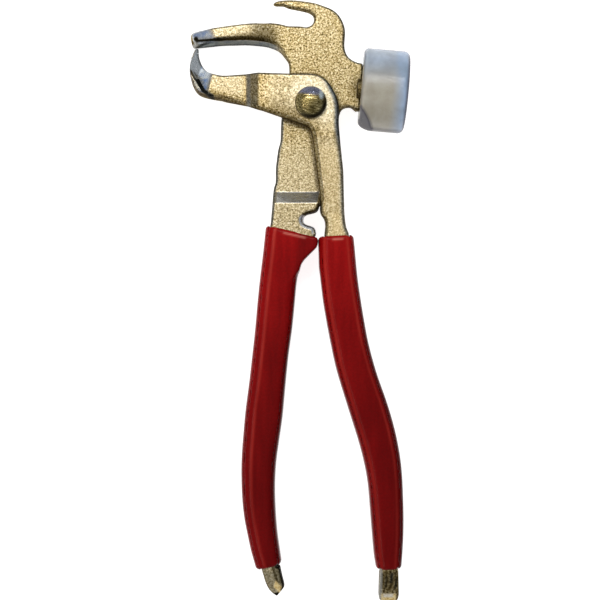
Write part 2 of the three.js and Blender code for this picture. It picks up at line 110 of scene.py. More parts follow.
LG_INNER = [
    (2.5, -53.1), (2.5, -54.7), (2.1, -56.8), (1.1, -58), (-1.1, -60.2), (-2.9, -62.1), (-4.1, -63.9), (-4.9,
    -66.4), (-5.7, -71.7), (-6.5, -80.3), (-7.4, -89.3), (-8.9, -100.3), (-10.2, -113.1), (-11.3, -124.9),
    (-12.7, -134.7), (-13.8, -142.9), (-14.3, -152.5), (-14, -162.9), (-13.3, -171.4), (-12.5, -177.1),
    (-11.7, -182.5),
]
LG_END = [
    (-11.7, -182.5), (-12.1, -184.2), (-15.9, -185.5), (-19.5, -186.6), (-21.3, -185.9),
]
LG_OUTER = [
    (-21.3, -185.9), (-22.2, -184.1), (-23.9, -178.1), (-25.2, -172.1), (-26.4, -166.1), (-27.1, -160.7),
    (-27.5, -155.1), (-27.7, -146.3), (-27.5, -139.7), (-26.8, -130.7), (-26, -122.1), (-24.5, -110.7),
    (-23.4, -100.9), (-22.4, -92.1), (-20.7, -73.7), (-18.9, -58.5), (-18.4, -52.1), (-17.9, -49.7), (-16.8,
    -48.8),
]
RG_TOP = [
    (3.3, -53), (5.7, -52.7), (10.8, -52.5), (14.4, -52.3), (16.3, -52.2),
]
RG_OUTER = [
    (16.3, -52.2), (17.2, -53.1), (17.6, -57.5), (18.7, -69.1), (20, -78.3), (21.5, -87.3), (23.1, -95.6),
    (26.3, -107.3), (30.5, -119.3), (33, -127.7), (34.6, -134.5), (35.9, -142.1), (36.6, -149.5), (36.9,
    -156.9), (37.1, -164.7), (37, -172.5), (36.7, -178.3), (36.3, -183.7),
]
RG_END = [
    (36.3, -183.7), (35.6, -186.3), (30.9, -187), (27.1, -186.8),
]
RG_INNER = [
    (27.1, -186.8), (26.1, -184.9), (25.3, -180.1), (24.1, -166.3), (22.8, -151.3), (21.5, -143.9), (19.5,
    -135.9), (15.7, -123.7), (11.7, -110.9), (10, -104.9), (8, -95.7), (6.1, -85.7), (4.8, -77.7), (3.3,
    -64.9), (3, -57.5), (3, -54.7), (3.3, -53),
]
LT_RIGHT = [
    (-12.1, -183.1), (-11.9, -186.0), (-11.2, -189.2), (-10.5, -192.2), (-10.6, -193.3), (-11.9, -195.0), (-13.5, -197.0),
]
LT_LEFT = [
    (-13.5, -197.0), (-15.2, -195.8), (-16.9, -194.0), (-18.2, -191.3), (-20.1, -185.9),
]
RT_RIGHT = [
    (35.5, -184.7), (35, -196.1), (34.6, -197.7), (33.9, -198.7),
]
RT_LEFT = [
    (28.5, -198.7), (27.7, -197.7), (27.3, -195.3), (26.9, -185.5),
]

# lights: name, place and aim in the tool frame in millimetres, size in metres, watts, colour
LIGHTS = [
    ("overhead", (-240, 330, 900), (0, -60, 0), (0.40, 0.40), 1.4, (1.0, 0.99, 0.97)),
    ("strip_left", (-330, -90, 760), (0, -90, 0), (0.9, 0.03), 1.3, (1.0, 0.90, 0.80)),
    ("strip_top", (0, 400, 850), (0, 0, 0), (0.7, 0.022), 2.7, (1.0, 0.97, 0.95)),
]
SKY_X, SKY_Y, SKY_YY, SKY_Z, SKY_0 = -0.22, -0.04, 0.52, 0.75, 0.10
SKY = [(0.0, (0.03, 0.034, 0.045)), (0.30, (0.12, 0.13, 0.15)), (0.45, (0.29, 0.31, 0.33)), (0.60, (0.42, 0.425, 0.43)), (0.80, (0.52, 0.52, 0.515)),
       (1.0, (0.52, 0.52, 0.52))]
FLOOR_GLOW = 0.85


# ------------------------------------------------------------------ curves and distances
def smooth(points, per=10):
    """Centripetal Catmull-Rom through the points."""
    p = np.array(points, float)
    p = np.vstack([2 * p[0] - p[1], p, 2 * p[-1] - p[-2]])
    out = []
    for i in range(1, len(p) - 2):
        p0, p1, p2, p3 = p[i - 1:i + 3]
        d0, d1, d2 = (max(np.linalg.norm(b - a), 1e-9) ** 0.5 for a, b in ((p0, p1), (p1, p2), (p2, p3)))
        t1 = ((p1 - p0) / d0 - (p2 - p0) / (d0 + d1) + (p2 - p1) / d1) * d1
        t2 = ((p2 - p1) / d1 - (p3 - p1) / (d1 + d2) + (p3 - p2) / d2) * d1
        t = np.linspace(0, 1, per, endpoint=False)[:, None]
        out.append(p1 + t1 * t + (3 * (p2 - p1) - 2 * t1 - t2) * t ** 2 + (2 * (p1 - p2) + t1 + t2) * t ** 3)
    out.append(p[-2][None])
    return thin(np.vstack(out), 0.012)


def thin(p, tol):
    """Fewer points with a chord error under tol."""
    keep = np.zeros(len(p), bool)
    keep[[0, -1]] = True
    stack = [(0, len(p) - 1)]
    while stack:
        i, j = stack.pop()
        if j - i < 2:
            continue
        a, b = p[i], p[j]
        ab = b - a
        d = np.abs((p[i + 1:j, 0] - a[0]) * ab[1] - (p[i + 1:j, 1] - a[1]) * ab[0]) / (np.hypot(*ab) + 1e-9)
        k = int(d.argmax())
        if d[k] > tol:
            keep[i + 1 + k] = True
            stack += [(i, i + 1 + k), (i + 1 + k, j)]
    return p[keep]


def inset(points, d):
    """The run moved sideways by d, to the right of its direction."""
    p = np.array(points, float)
    t = np.vstack([p[1] - p[0], p[2:] - p[:-2], p[-1] - p[-2]])
    t /= np.hypot(t[:, 0], t[:, 1])[:, None]
    return p + np.column_stack([t[:, 1], -t[:, 0]]) * d


def closed(*runs):
    p = np.vstack([np.array(r, float) for r in runs])
    keep = np.hypot(*(p - np.roll(p, 1, 0)).T) > 0.05
    return p[keep]


def run_distance(line, x, y):
    """Unsigned distance from points to an open line."""
    a, b = line[:-1].astype(np.float32), line[1:].astype(np.float32)
    out = np.full(x.shape, 1e9, np.float32)
    for (ax, ay), (bx, by) in zip(a, b):
        ex, ey = bx - ax, by - ay
        wx, wy = x - ax, y - ay
        t = np.clip((wx * ex + wy * ey) / (ex * ex + ey * ey + 1e-12), 0, 1)
        dx, dy = wx - ex * t, wy - ey * t
        np.minimum(out, dx * dx + dy * dy, out=out)
    return np.sqrt(out)


def outline_distance(poly, x, y):
    """Signed distance to a closed outline, negative inside."""
    out = np.full(x.shape, 1e9, np.float32)
    inside = np.zeros(x.shape, bool)
    for (ax, ay), (bx, by) in zip(poly.astype(np.float32), np.roll(poly, -1, 0).astype(np.float32)):
        ex, ey = bx - ax, by - ay
        wx, wy = x - ax, y - ay
        t = np.clip((wx * ex + wy * ey) / (ex * ex + ey * ey + 1e-12), 0, 1)
        dx, dy = wx - ex * t, wy - ey * t
        np.minimum(out, dx * dx + dy * dy, out=out)
        if ay != by:
            inside ^= ((ay > y) != (by > y)) & (x < (bx - ax) * (y - ay) / (by - ay) + ax)
    out = np.sqrt(out)
    return np.where(inside, -out, out)


class Plan:
    """Distances in the plane of the levers, worked out once on a grid and read between its points."""

    def __init__(self, lo, hi, h):
        self.lo, self.h = np.array(lo, float), h
        self.n = np.ceil((np.array(hi) - self.lo) / h).astype(int) + 1
        gx = (self.lo[0] + h * np.arange(self.n[0])).astype(np.float32)
        gy = (self.lo[1] + h * np.arange(self.n[1])).astype(np.float32)
        self.x, self.y = np.meshgrid(gx, gy, indexing="ij")
        self.layers = {}

    def add(self, name, values):
        self.layers[name] = values.astype(np.float32)

    def read(self, name, x, y):
        g = self.layers[name]
        u = np.clip((x - self.lo[0]) / self.h, 0, self.n[0] - 1.001)
        v = np.clip((y - self.lo[1]) / self.h, 0, self.n[1] - 1.001)
        i, j = u.astype(np.int32), v.astype(np.int32)
        u, v = u - i, v - j
        return ((g[i, j] * (1 - u) + g[i + 1, j] * u) * (1 - v) + (g[i, j + 1] * (1 - u) + g[i + 1, j + 1] * u) * v)


def rint(a, b, r):
    """Intersection with a rounded edge of radius r."""
    return np.minimum(np.maximum(a, b), -r) + np.hypot(np.maximum(a + r, 0), np.maximum(b + r, 0))


def smin(a, b, k):
    h = np.clip(k - np.abs(a - b), 0, None) / k
    return np.minimum(a, b) - h * h * k * 0.25


def smax(a, b, k):
    return -smin(-a, -b, k)


def step(a, b, x):
    t = np.clip((x - a) / (b - a), 0, 1)
    return t * t * (3 - 2 * t)


def ramp(a, b, x):
    return np.clip((x - a) / (b - a), 0, 1)


def surface_net(field, lo, hi, h, plan=None, names=(), band=None):
    """Vertices and quads of field = 0. field(x, y, z, **layers) is negative inside."""
    lo = np.array(lo, float)
    n = np.ceil((np.array(hi, float) - lo) / h).astype(int) + 1
    axes = [(lo[k] + h * np.arange(n[k])).astype(np.float32) for k in range(3)]
    x2, y2 = np.meshgrid(axes[0], axes[1], indexing="ij")
    layers = {k: plan.read(k, x2, y2)[:, :, None] for k in names} if plan else {}
    f = np.empty(n, np.float32)
    for s in range(0, n[2], 8):  # slabs, to keep memory low
        z = axes[2][s:s + 8][None, None, :]
        f[:, :, s:s + 8] = field(x2[:, :, None], y2[:, :, None], z, **layers)
    inside = f < 0
    count = np.zeros(n - 1, np.uint8)
    corners = [(i, j, k) for i in (0, 1) for j in (0, 1) for k in (0, 1)]
    for i, j, k in corners:
        count += inside[i:n[0] - 1 + i, j:n[1] - 1 + j, k:n[2] - 1 + k]
    cells = np.argwhere((count > 0) & (count < 8))
    index = np.full(n - 1, -1, np.int32)
    index[tuple(cells.T)] = np.arange(len(cells))
    total, weight = np.zeros((len(cells), 3)), np.zeros(len(cells))
    value = {c: f[tuple((cells + c).T)].astype(float) for c in corners}
    for c in corners:
        for k in range(3):
            if c[k] == 0:
                d = list(c)
                d[k] = 1
                a, b = value[c], value[tuple(d)]
                cross = (a < 0) != (b < 0)
                t = np.where(cross, a / np.where(cross, a - b, 1), 0)
                p = np.array(c, float) + t[:, None] * (np.array(d, float) - np.array(c, float))
                total[cross] += p[cross]
                weight[cross] += 1
    v = lo + h * (cells + total / weight[:, None])
    quads = []
    for k, (a, b) in enumerate(((1, 2), (2, 0), (0, 1))):
        first = [slice(None)] * 3
        second = [slice(None)] * 3
        first[k], second[k] = slice(0, -1), slice(1, None)
        s0, s1 = inside[tuple(first)], inside[tuple(second)]
        e = np.argwhere(s0 != s1)
        e = e[(e[:, a] > 0) & (e[:, b] > 0) & (e[:, a] < n[a] - 1) & (e[:, b] < n[b] - 1)]
        out = s0[tuple(e.T)]
        da, db = np.zeros(3, int), np.zeros(3, int)
        da[a], db[b] = 1, 1
        q = np.column_stack([index[tuple((e - da - db).T)], index[tuple((e - db).T)],
                             index[tuple(e.T)], index[tuple((e - da).T)]])
        q[~out] = q[~out][:, ::-1]
        quads.append(q)
    q = np.vstack(quads)
    q = q[(q >= 0).all(1)]

    def at(p):
        return field(p[:, 0], p[:, 1], p[:, 2], **{m: plan.read(m, p[:, 0], p[:, 1]) for m in names})
    e = 0.05
    start = v.copy()
    for _ in range(3):  # pull the vertices onto the surface
        g = np.column_stack([(at(v + d) - at(v - d)) / (2 * e) for d in np.eye(3) * e])
        g2 = np.maximum((g * g).sum(1), 0.05)
        move = -(at(v) / g2)[:, None] * g
        l = np.linalg.norm(move, axis=1)
        v = v + move * np.minimum(1, 0.3 * h / np.maximum(l, 1e-9))[:, None]
        off = v - start
        l = np.linalg.norm(off, axis=1)
        v = start + off * np.minimum(1, 0.6 * h / np.maximum(l, 1e-9))[:, None]
    return v, q


def piece(name, v, faces, material, body, replaces, marks=None, angle=None):
    """A mesh in the tool frame put on the bench, with its tool-frame place and its marks kept for the materials."""
    me = bpy.data.meshes.new(name)
    w = v @ TOOL_NP[:3, :3].T + TOOL_NP[:3, 3]
    if isinstance(faces, list):
        me.from_pydata([tuple(p) for p in w], [], faces)
    else:
        me.vertices.add(len(w))
        me.vertices.foreach_set("co", w.astype(np.float32).ravel())
        me.loops.add(faces.size)
        me.loops.foreach_set("vertex_index", faces.astype(np.int32).ravel())
        me.polygons.add(len(faces))
        me.polygons.foreach_set("loop_start", np.arange(0, faces.size, faces.shape[1], dtype=np.int32))
        me.polygons.foreach_set("loop_total", np.full(len(faces), faces.shape[1], np.int32))
    me.update(calc_edges=True)
    me.validate()
    me.polygons.foreach_set("use_smooth", np.ones(len(me.polygons), bool))
    me.attributes.new("loc", "FLOAT_VECTOR", "POINT").data.foreach_set("vector", v.astype(np.float32).ravel())
    for k, m in (marks or {}).items():
        me.attributes.new(k, "FLOAT", "POINT").data.foreach_set("value", np.asarray(m, np.float32))
    o = bpy.data.objects.new(name, me)
    bpy.context.collection.objects.link(o)
    me.materials.append(material)
    if angle:
        me.set_sharp_from_angle(angle=angle)
    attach(o, body)
    if replaces:
        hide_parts(replaces)
    return o


# ------------------------------------------------------------------ plans of the parts
CT, ST = math.cos(HAMMER_TILT), math.sin(HAMMER_TILT)
SLEEVE = WALL + 0.15
HOOK_TIP = [(-45.3, 22.9), (-45.2, 21.6), (-45.1, 19.8)]
HOOK_BACK = [(-47.9, 20.4), (-47.35, 21.6), (-46.9, 22.9)]
main_line = closed(smooth(CLAW_BACK), [[20.85, 16.2], [19.35, -2.3]], smooth(NECK_UNDER), smooth(NOTCH), smooth(inset(LG_INNER[3:], SLEEVE)),
                   [[-13.45, -184.2], [-12.15, -184.6]], smooth(LT_RIGHT[1:]), smooth(LT_LEFT[:-1]), smooth(inset(LG_OUTER[:-2], SLEEVE)),
                   smooth(LEFT_EDGE), smooth(NOSE_TOP))
jaw_line = closed(smooth(HOOK_TIP + JAW_TOP[3:]), smooth(inset(RG_OUTER[2:], SLEEVE)), smooth(RT_RIGHT[1:]), smooth(RT_LEFT[:-1]),
                  smooth(inset(RG_INNER[1:-3], SLEEVE)),
                  smooth(JAW_LEFT[:-2] + HOOK_BACK))
left_skin = closed([[-17.4, -44], [-2.9, -44]], smooth([(-3.3, -50), (-4.0, -58)] + LG_INNER[7:]),
                   [[-10.6, -191], [-20.4, -191]], smooth(LG_OUTER[1:-3]))
right_skin = closed([[2.8, -44], [16.2, -44]], smooth(RG_OUTER[2:]), [[35.4, -194], [28.2, -194]], smooth(RG_INNER[1:-3]))
spur_line = closed([[-9, -50.4]], [LG_TOP[4]], smooth(LG_INNER[:8]), [[-9, -72]])

levers = Plan((-51, -202), (40, 45), 0.4)
levers.add("main", outline_distance(main_line, levers.x, levers.y))
levers.add("jaw", outline_distance(jaw_line, levers.x, levers.y))
near_head = levers.y > -75


def head_only(line):
    out = np.full(levers.x.shape, 50, np.float32)
    out[near_head] = run_distance(line, levers.x[near_head], levers.y[near_head])
    return out


levers.add("grip_edge", head_only(smooth(LEFT_EDGE[10:])))   # gripping edge of the upper jaw
levers.add("jaw_left", head_only(smooth(JAW_LEFT[:22])))      # inner edge of the jaw lever
levers.add("jaw_top", head_only(smooth(JAW_TOP[6:])))
levers.add("lip", head_only(smooth(NOTCH[5:])))               # lower lip of the crimping notch
levers.add("lip_top", head_only(smooth(NOTCH[:5])))
levers.add("main_left", head_only(smooth(LEFT_EDGE[:11])))
levers.add("claw", head_only(smooth(CLAW_BACK[3:])))
levers.add("neck", head_only(smooth(NECK_UNDER)))


def hammer_axes(x, y, z):
    """Along and across the nylon head's axis."""
    u = (x - HAMMER[0]) * CT + (y - HAMMER[1]) * ST
    v = -(x - HAMMER[0]) * ST + (y - HAMMER[1]) * CT
    return u, v, np.hypot(v, z - HAMMER[2])


# ------------------------------------------------------------------ main lever
def main_top(x, y, main, grip_edge, lip):
    z = PLATE_T + np.clip(STEP_HI - y, 0, HANDLE_T - PLATE_T)
    nose = step(-12, -25, x) * (y > 14)
    z = z + nose * (NOSE_T - PLATE_T)
    z = np.where((x < -2) & (y > 33.5), z + 2.2 * (x + 2) / 13, z)
    # the nose is ground away to the left
    ground = np.clip(-38.4 - x - 0.4 * (y - 29), 0, None)
    z = z - np.where((y > 18) & (x < -38), 0.46 * ground ** 2 / (ground + 1.6), 0)
    # ground lower lip of the notch
    z = z - 0.55 * np.clip(1.9 - lip, 0, None) * step(-52.5, -51.2, y)
    # ground facets of the handle's point, either side of a ridge
    side = x - point_ridge(y)
    roof = HANDLE_T - 0.10 + 0.10 * (y + 186) - 0.16 * np.clip(side, 0, None) - 0.20 * np.clip(-side, 0, None)
    last = 8.7 + 0.32 * (y + 191.5) - 0.22 * np.clip(np.abs(side + 0.35), 0, None)
    return np.where(y < -183, np.minimum(z, np.minimum(roof, last)), z)


def point_ridge(y):
    return -15.4 - 0.31 * (y + 184.4)


def main_bottom(x, y):
    return np.clip(-4.2 * (y - TIP_Y) / 8.9, 0, 6) * (y < TIP_Y)


def main_field(x, y, z, main, jaw, grip_edge, jaw_left, lip):
    top, bottom = main_top(x, y, main, grip_edge, lip), main_bottom(x, y)
    cap = np.maximum(z - top, bottom - z)
    upper = step(-9, -14, x) * step(8, 14, y)
    mid = 0.5 * top
    draft = 0.087 * np.abs(z - mid) + upper * np.clip(0.25 * z, 0, None) * step(6, 1, grip_edge)
    r = 0.9 + 1.4 * upper * step(7, 2, grip_edge)
    r = np.where(y < -183, 1.1, r)
    f = rint(main + draft - 0.22 * upper, cap, r)
    # forged neck running out to the boss behind the nylon head
    u, v, rho = hammer_axes(x, y, z)
    shoulder = rint(rho - 8.7, np.maximum(u + 9.26, -11.2 - u), 0.6)
    cone = np.maximum(rho - (8.7 + 1.02 * (u + 11.0)), np.maximum(u + 10.6, -17.0 - u)) * 0.7
    under = rint(smin(shoulder, cone, 1.2), z - 5.7, 0.8)
    f = np.where(x > 6, np.maximum(smin(f, under, 1.5), z - PLATE_T), f)
    spigot = np.maximum(rint(rho - 4.0, -10.7 - u, 0.4), u - 1.5)
    f = np.minimum(f, spigot)
    # lap recess for the jaw lever, and the contact face beside its shank
    inside = np.maximum(jaw - 0.3, np.maximum(np.abs(x - 5) - 25, np.abs(y + 20) - 40))
    f = smax(f, -np.maximum(inside, PLATE_T - z), 0.3)
    f = np.maximum(f, -np.maximum(jaw - 0.3, np.maximum(np.abs(x - 12.5) - 17.5, np.abs(y + 47) - 6.1)))
    # rivet hole with its countersink on the rear face
    rr = np.hypot(x, y)
    return np.maximum(f, np.maximum(4.06, 6.2 - z * 0.93) - rr)


# ------------------------------------------------------------------ jaw lever
def jaw_top_z(x, y):
    t = (0.75 * step(BAND_R + 1.0, BAND_L - 1.0, x) + 0.25 * step(BAND_R + 6.5, BAND_L, x)) * (y > -14)
    z = JAW_Z1 - t * (JAW_Z1 - NOSE_T)
    z = z - np.clip((-14 - y) / 30, 0, 1) * (JAW_Z1 - HANDLE_T) * (x > -14)
    blade = HANDLE_T + 4.2 * (y - TIP_Y) / 10.7
    end = 7.44 + 0.30 * (y + 195.8)
    z = np.where(y < -180, np.minimum(z, np.minimum(blade, end)), z)
    # ground faces of the hook
    bevel = NOSE_T - 0.60 * np.clip(-38.9 + 0.26 * (y - 12.5) - x, 0, None)
    flank = 5 - 0.75 * ((x + 43.2) * -0.93 + (y - 15.1) * 0.37)
    hook = np.where(flank < bevel, flank, bevel)
    crease = hook_rim(x, y)
    return np.where((x < -36), np.minimum(z, np.maximum(hook, -8 * crease + hook)), z)


def hook_rim(x, y):
    """Under 0 outside the line where the hook's ground face meets its forged rim."""
    a, b, c = (-45.9, 10.1), (-43.1, 4.9), (-40.7, 3.3)
    def side(p, q):
        nx, ny = -(q[1] - p[1]), q[0] - p[0]
        n = math.hypot(nx, ny)
        return ((x - p[0]) * nx + (y - p[1]) * ny) / n
    return np.minimum(side(a, b), side(b, c))


def jaw_bottom_z(x, y):
    slope = JAW_Z0 * ramp(-28.1, BAND_L + 0.6, x)
    z = np.where(y > JAW_FULL, slope, 0)
    return np.where(y < TIP_Y, -5.15 * (y - TIP_Y) / 10.7, z)


def jaw_field(x, y, z, jaw, jaw_left, jaw_top):
    top, bottom = jaw_top_z(x, y), jaw_bottom_z(x, y)
    cap = np.maximum(z - top, (bottom - z) * 0.9)
    near_left = step(4.5, 1.0, jaw_left) * step(-40, -34, x)
    shank = step(-4, -12, y) * step(-43, -35, y) * near_left
    parting = np.maximum(0.5 * (top + bottom), 6) * ramp(-36, -27, x)
    draft = 0.087 * np.abs(z - parting) - 0.12 * (x < -20) - 0.28 * step(-185, -187, y) + 0.06 * shank * np.clip(z - 7, 0, None)
    r = 1.0 + 0.5 * near_left + 0.9 * shank
    r = np.where(x < -36, 0.35 + 0.65 * ramp(-40, -36, x), r)
    r = np.where(y < -186, 0.4, r)
    f = rint(jaw + draft, cap, r)
    return np.maximum(f, 4.3 - np.hypot(x, y))


# ------------------------------------------------------------------ grips
def grip_field(skin, steel, rims, spur=None):
    def field(x, y, z, **k):
        middle, half = HANDLE_T / 2, HANDLE_T / 2 + WALL
        cap = np.abs(z - middle) - half
        f = rint(k[skin] - 0.08 + 0.05 * np.abs(z - middle), cap, 3.9)
        if spur:
            f = np.maximum(smin(f, rint(k[spur] - 0.50 + 0.03 * np.abs(z - middle), cap, 1.4), 1.2), cap)
        for (px, py), (nx, ny), r in rims:
            n = math.hypot(nx, ny)
            f = rint(f, ((x - px) * nx + (y - py) * ny) / n, r)
        return np.maximum(f, -(np.maximum(k[steel] - 0.12, np.abs(z - middle) - half + WALL - 0.12)))
    return field


# ------------------------------------------------------------------ small parts, built about Z at the origin
def lathe(profile, sides, name=None):
    """Closed quads round Z from [radius, z] pairs, axis to axis or a loop."""
    loop = profile[0][0] > 1e-6
    v, f = [], []
    rows = []
    for r, z in profile:
        if r < 1e-6:
            rows.append([len(v)])
            v.append((0, 0, z))
        else:
            rows.append(list(range(len(v), len(v) + sides)))
            v += [(r * math.cos(2 * math.pi * i / sides), r * math.sin(2 * math.pi * i / sides), z) for i in range(sides)]
    pairs = list(zip(rows, rows[1:])) + ([(rows[-1], rows[0])] if loop else [])
    for a, b in pairs:
        for i in range(sides):
            j = (i + 1) % sides
            if len(a) == 1:
                f.append((a[0], b[j], b[i]))
            elif len(b) == 1:
                f.append((a[i], a[j], b[0]))
            else:
                f.append((a[i], a[j], b[j], b[i]))
    return np.array(v, float), f


def on_hammer(v):
    """From built-about-Z to the nylon head's axis."""
    x, y, z = v.T  # Z goes along the axis, X down, Y across
    return np.column_stack([HAMMER[0] + z * CT - y * ST, HAMMER[1] + z * ST + y * CT, HAMMER[2] - x])


# ------------------------------------------------------------------ finishes
class Finish:
    """A node material. Values that are sockets are linked, others are set."""

    def __init__(self, name):
        self.m = bpy.data.materials.new(name)
        self.m.use_nodes = True
        self.t = self.m.node_tree
        self.t.nodes.clear()
        a = self.t.nodes.new("ShaderNodeAttribute")
        a.attribute_name = "loc"
        self.loc = a.outputs["Vector"]

    def node(self, kind, inputs, out=0, **props):
        n = self.t.nodes.new(kind)
        for k, v in props.items():
            setattr(n, k, v)
        for k, v in inputs.items():
            if isinstance(v, bpy.types.NodeSocket):
                self.t.links.new(v, n.inputs[k])
            else:
                n.inputs[k].default_value = v
        return n.outputs[out]

    def mark(self, name):
        return self.node("ShaderNodeAttribute", {}, "Fac", attribute_name=name)

    def scaled(self, s, v=None, rot=(0, 0, 0)):
        return self.node("ShaderNodeMapping", {"Vector": v or self.loc, "Scale": s, "Rotation": rot})

    def noise(self, scale, detail=3.0, rough=0.55, v=None, warp=0.0):
        return self.node("ShaderNodeTexNoise", {"Vector": v or self.loc, "Scale": scale, "Detail": detail,
                                                "Roughness": rough, "Distortion": warp})

    def math(self, op, a, b=0.0, clamp=False):
        return self.node("ShaderNodeMath", {0: a, 1: b}, operation=op, use_clamp=clamp)

    def range(self, v, a, b, c=0.0, d=1.0):
        return self.node("ShaderNodeMapRange", {"Value": v, "From Min": a, "From Max": b, "To Min": c, "To Max": d})

    def ramp(self, fac, stops):
        n = self.t.nodes.new("ShaderNodeValToRGB")
        self.t.links.new(fac, n.inputs[0])
        e = n.color_ramp.elements
        while len(e) < len(stops):
            e.new(0.5)
        for x, (p, c) in zip(e, stops):
            x.position = p
            x.color = (*c, 1)
        return n.outputs[0]

    def mix(self, fac, a, b, mode="MIX"):
        n = self.t.nodes.new("ShaderNodeMix")
        n.data_type, n.blend_type = "RGBA", mode
        for i, v in ((0, fac), (6, a), (7, b)):
            if isinstance(v, bpy.types.NodeSocket):
                self.t.links.new(v, n.inputs[i])
            else:
                n.inputs[i].default_value = v if i == 0 else (*v, 1)
        return n.outputs[2]

    def bump(self, height, distance, strength=1.0, normal=None):
        inputs = {"Height": height, "Distance": distance, "Strength": strength}
        if normal:
            inputs["Normal"] = normal
        return self.node("ShaderNodeBump", inputs)

    def shader(self, **inputs):
        n = self.t.nodes.new("ShaderNodeBsdfPrincipled")
        for k, v in inputs.items():
            k = k.replace("_", " ")
            if isinstance(v, bpy.types.NodeSocket):
                self.t.links.new(v, n.inputs[k])
            else:
                n.inputs[k].default_value = v
        o = self.t.nodes.new("ShaderNodeOutputMaterial")
        self.t.links.new(n.outputs[0], o.inputs["Surface"])
        return self.m


def zinc(name, tint=(1, 1, 1)):
    """Yellow-passivated zinc over a grit-blasted forging; ground places are bare steel."""
    f = Finish(name)
    grain, fine, patch = f.noise(1.35, 3, 0.6), f.noise(2.3, 3, 0.6), f.noise(0.10, 3, 0.6, warp=0.6)
    mixed = f.math("ADD", f.math("MULTIPLY", grain, 0.62), f.math("MULTIPLY", fine, 0.38))
    c = [tuple(a * b for a, b in zip(s, tint)) for s in
         ((0.050, 0.034, 0.011), (0.225, 0.168, 0.068), (0.45, 0.365, 0.190), (0.72, 0.65, 0.46))]
    gold = f.ramp(mixed, [(0.38, c[0]), (0.45, c[1]), (0.525, c[2]), (0.61, c[3])])
    gold = f.mix(f.range(patch, 0.35, 0.65, 0.0, 0.35), gold, f.mix(1.0, gold, (0.80, 0.72, 0.48), "MULTIPLY"))
    cream = f.ramp(mixed, [(0.36, (0.42, 0.35, 0.20)), (0.45, (0.62, 0.55, 0.36)), (0.60, (0.92, 0.87, 0.72))])
    # painted highlight: cream where the light falls brightest, as round the rivet
    gold = f.mix(f.math("MULTIPLY", f.mark("painted_highlight"), 0.9), gold, cream)
    # painted dark reflection and painted shade: blue-grey on edges turned from the light, in creases and in the hollow
    gold = f.mix(f.mark("painted_reflection_shade"), gold, f.ramp(mixed, [(0.38, (0.022, 0.026, 0.030)), (0.62, (0.13, 0.16, 0.18))]))
    # painted shade: olive darkening of edges, undersides, creases and surfaces next to other parts
    dark = f.mark("dark")
    gold = f.mix(dark, gold, f.mix(1.0, gold, (0.13, 0.11, 0.06), "MULTIPLY"))
    lines = f.noise(1.0, 4, 0.65, f.scaled((0.30, 2.8, 2.8), rot=(0, 0, 0.5)))
    steel = f.ramp(f.math("ADD", f.math("MULTIPLY", lines, 0.7), f.math("MULTIPLY", fine, 0.3)),
                   [(0.30, (0.20, 0.22, 0.25)), (0.50, (0.46, 0.50, 0.55)), (0.66, (0.80, 0.84, 0.90))])
    # painted highlight on the bare steel
    steel = f.mix(f.mark("painted_highlight"), steel, f.ramp(mixed, [(0.35, (0.72, 0.72, 0.68)), (0.65, (0.98, 0.98, 0.96))]))
    # painted reflection of a blue sky on the ground facets
    steel = f.mix(f.mark("painted_sky_blue"), steel, f.mix(f.range(f.noise(0.30, 3, 0.6), 0.40, 0.60), (0.22, 0.38, 0.76), (0.88, 0.95, 1.0)))
    # painted shade on bare steel, as under the upper jaw and on the hook
    steel = f.mix(f.mark("painted_steel_shade"), steel, f.mix(1.0, steel, (0.30, 0.31, 0.28), "MULTIPLY"))
    bare = f.mark("bare")
    rough = f.mix(bare, f.ramp(fine, [(0.3, (0.50,) * 3), (0.7, (0.30,) * 3)]),
                  f.ramp(lines, [(0.3, (0.36,) * 3), (0.7, (0.20,) * 3)]))
    height = f.mix(bare, mixed, f.math("MULTIPLY", lines, 0.35))
    colour = f.mix(bare, gold, steel)
    # painted highlight: a bright gold glint on small facets
    colour = f.mix(f.mark("painted_gold_glint"), colour, f.ramp(mixed, [(0.40, (0.66, 0.43, 0.13)), (0.55, (1.0, 0.80, 0.40))]))
    edges = f.ramp(mixed, [(0.38, (0.16, 0.15, 0.15)), (0.60, (0.46, 0.44, 0.42))])
    edges = f.mix(f.math("MULTIPLY", f.mark("painted_steel_shade"), bare), edges, f.mix(1.0, edges, (0.40, 0.36, 0.46), "MULTIPLY"))
    return f.shader(Base_Color=colour, Metallic=0.97, Roughness=rough, Specular_Tint=edges,
                    Specular_IOR_Level=0.2, Normal=f.bump(height, 0.00016, 0.8))


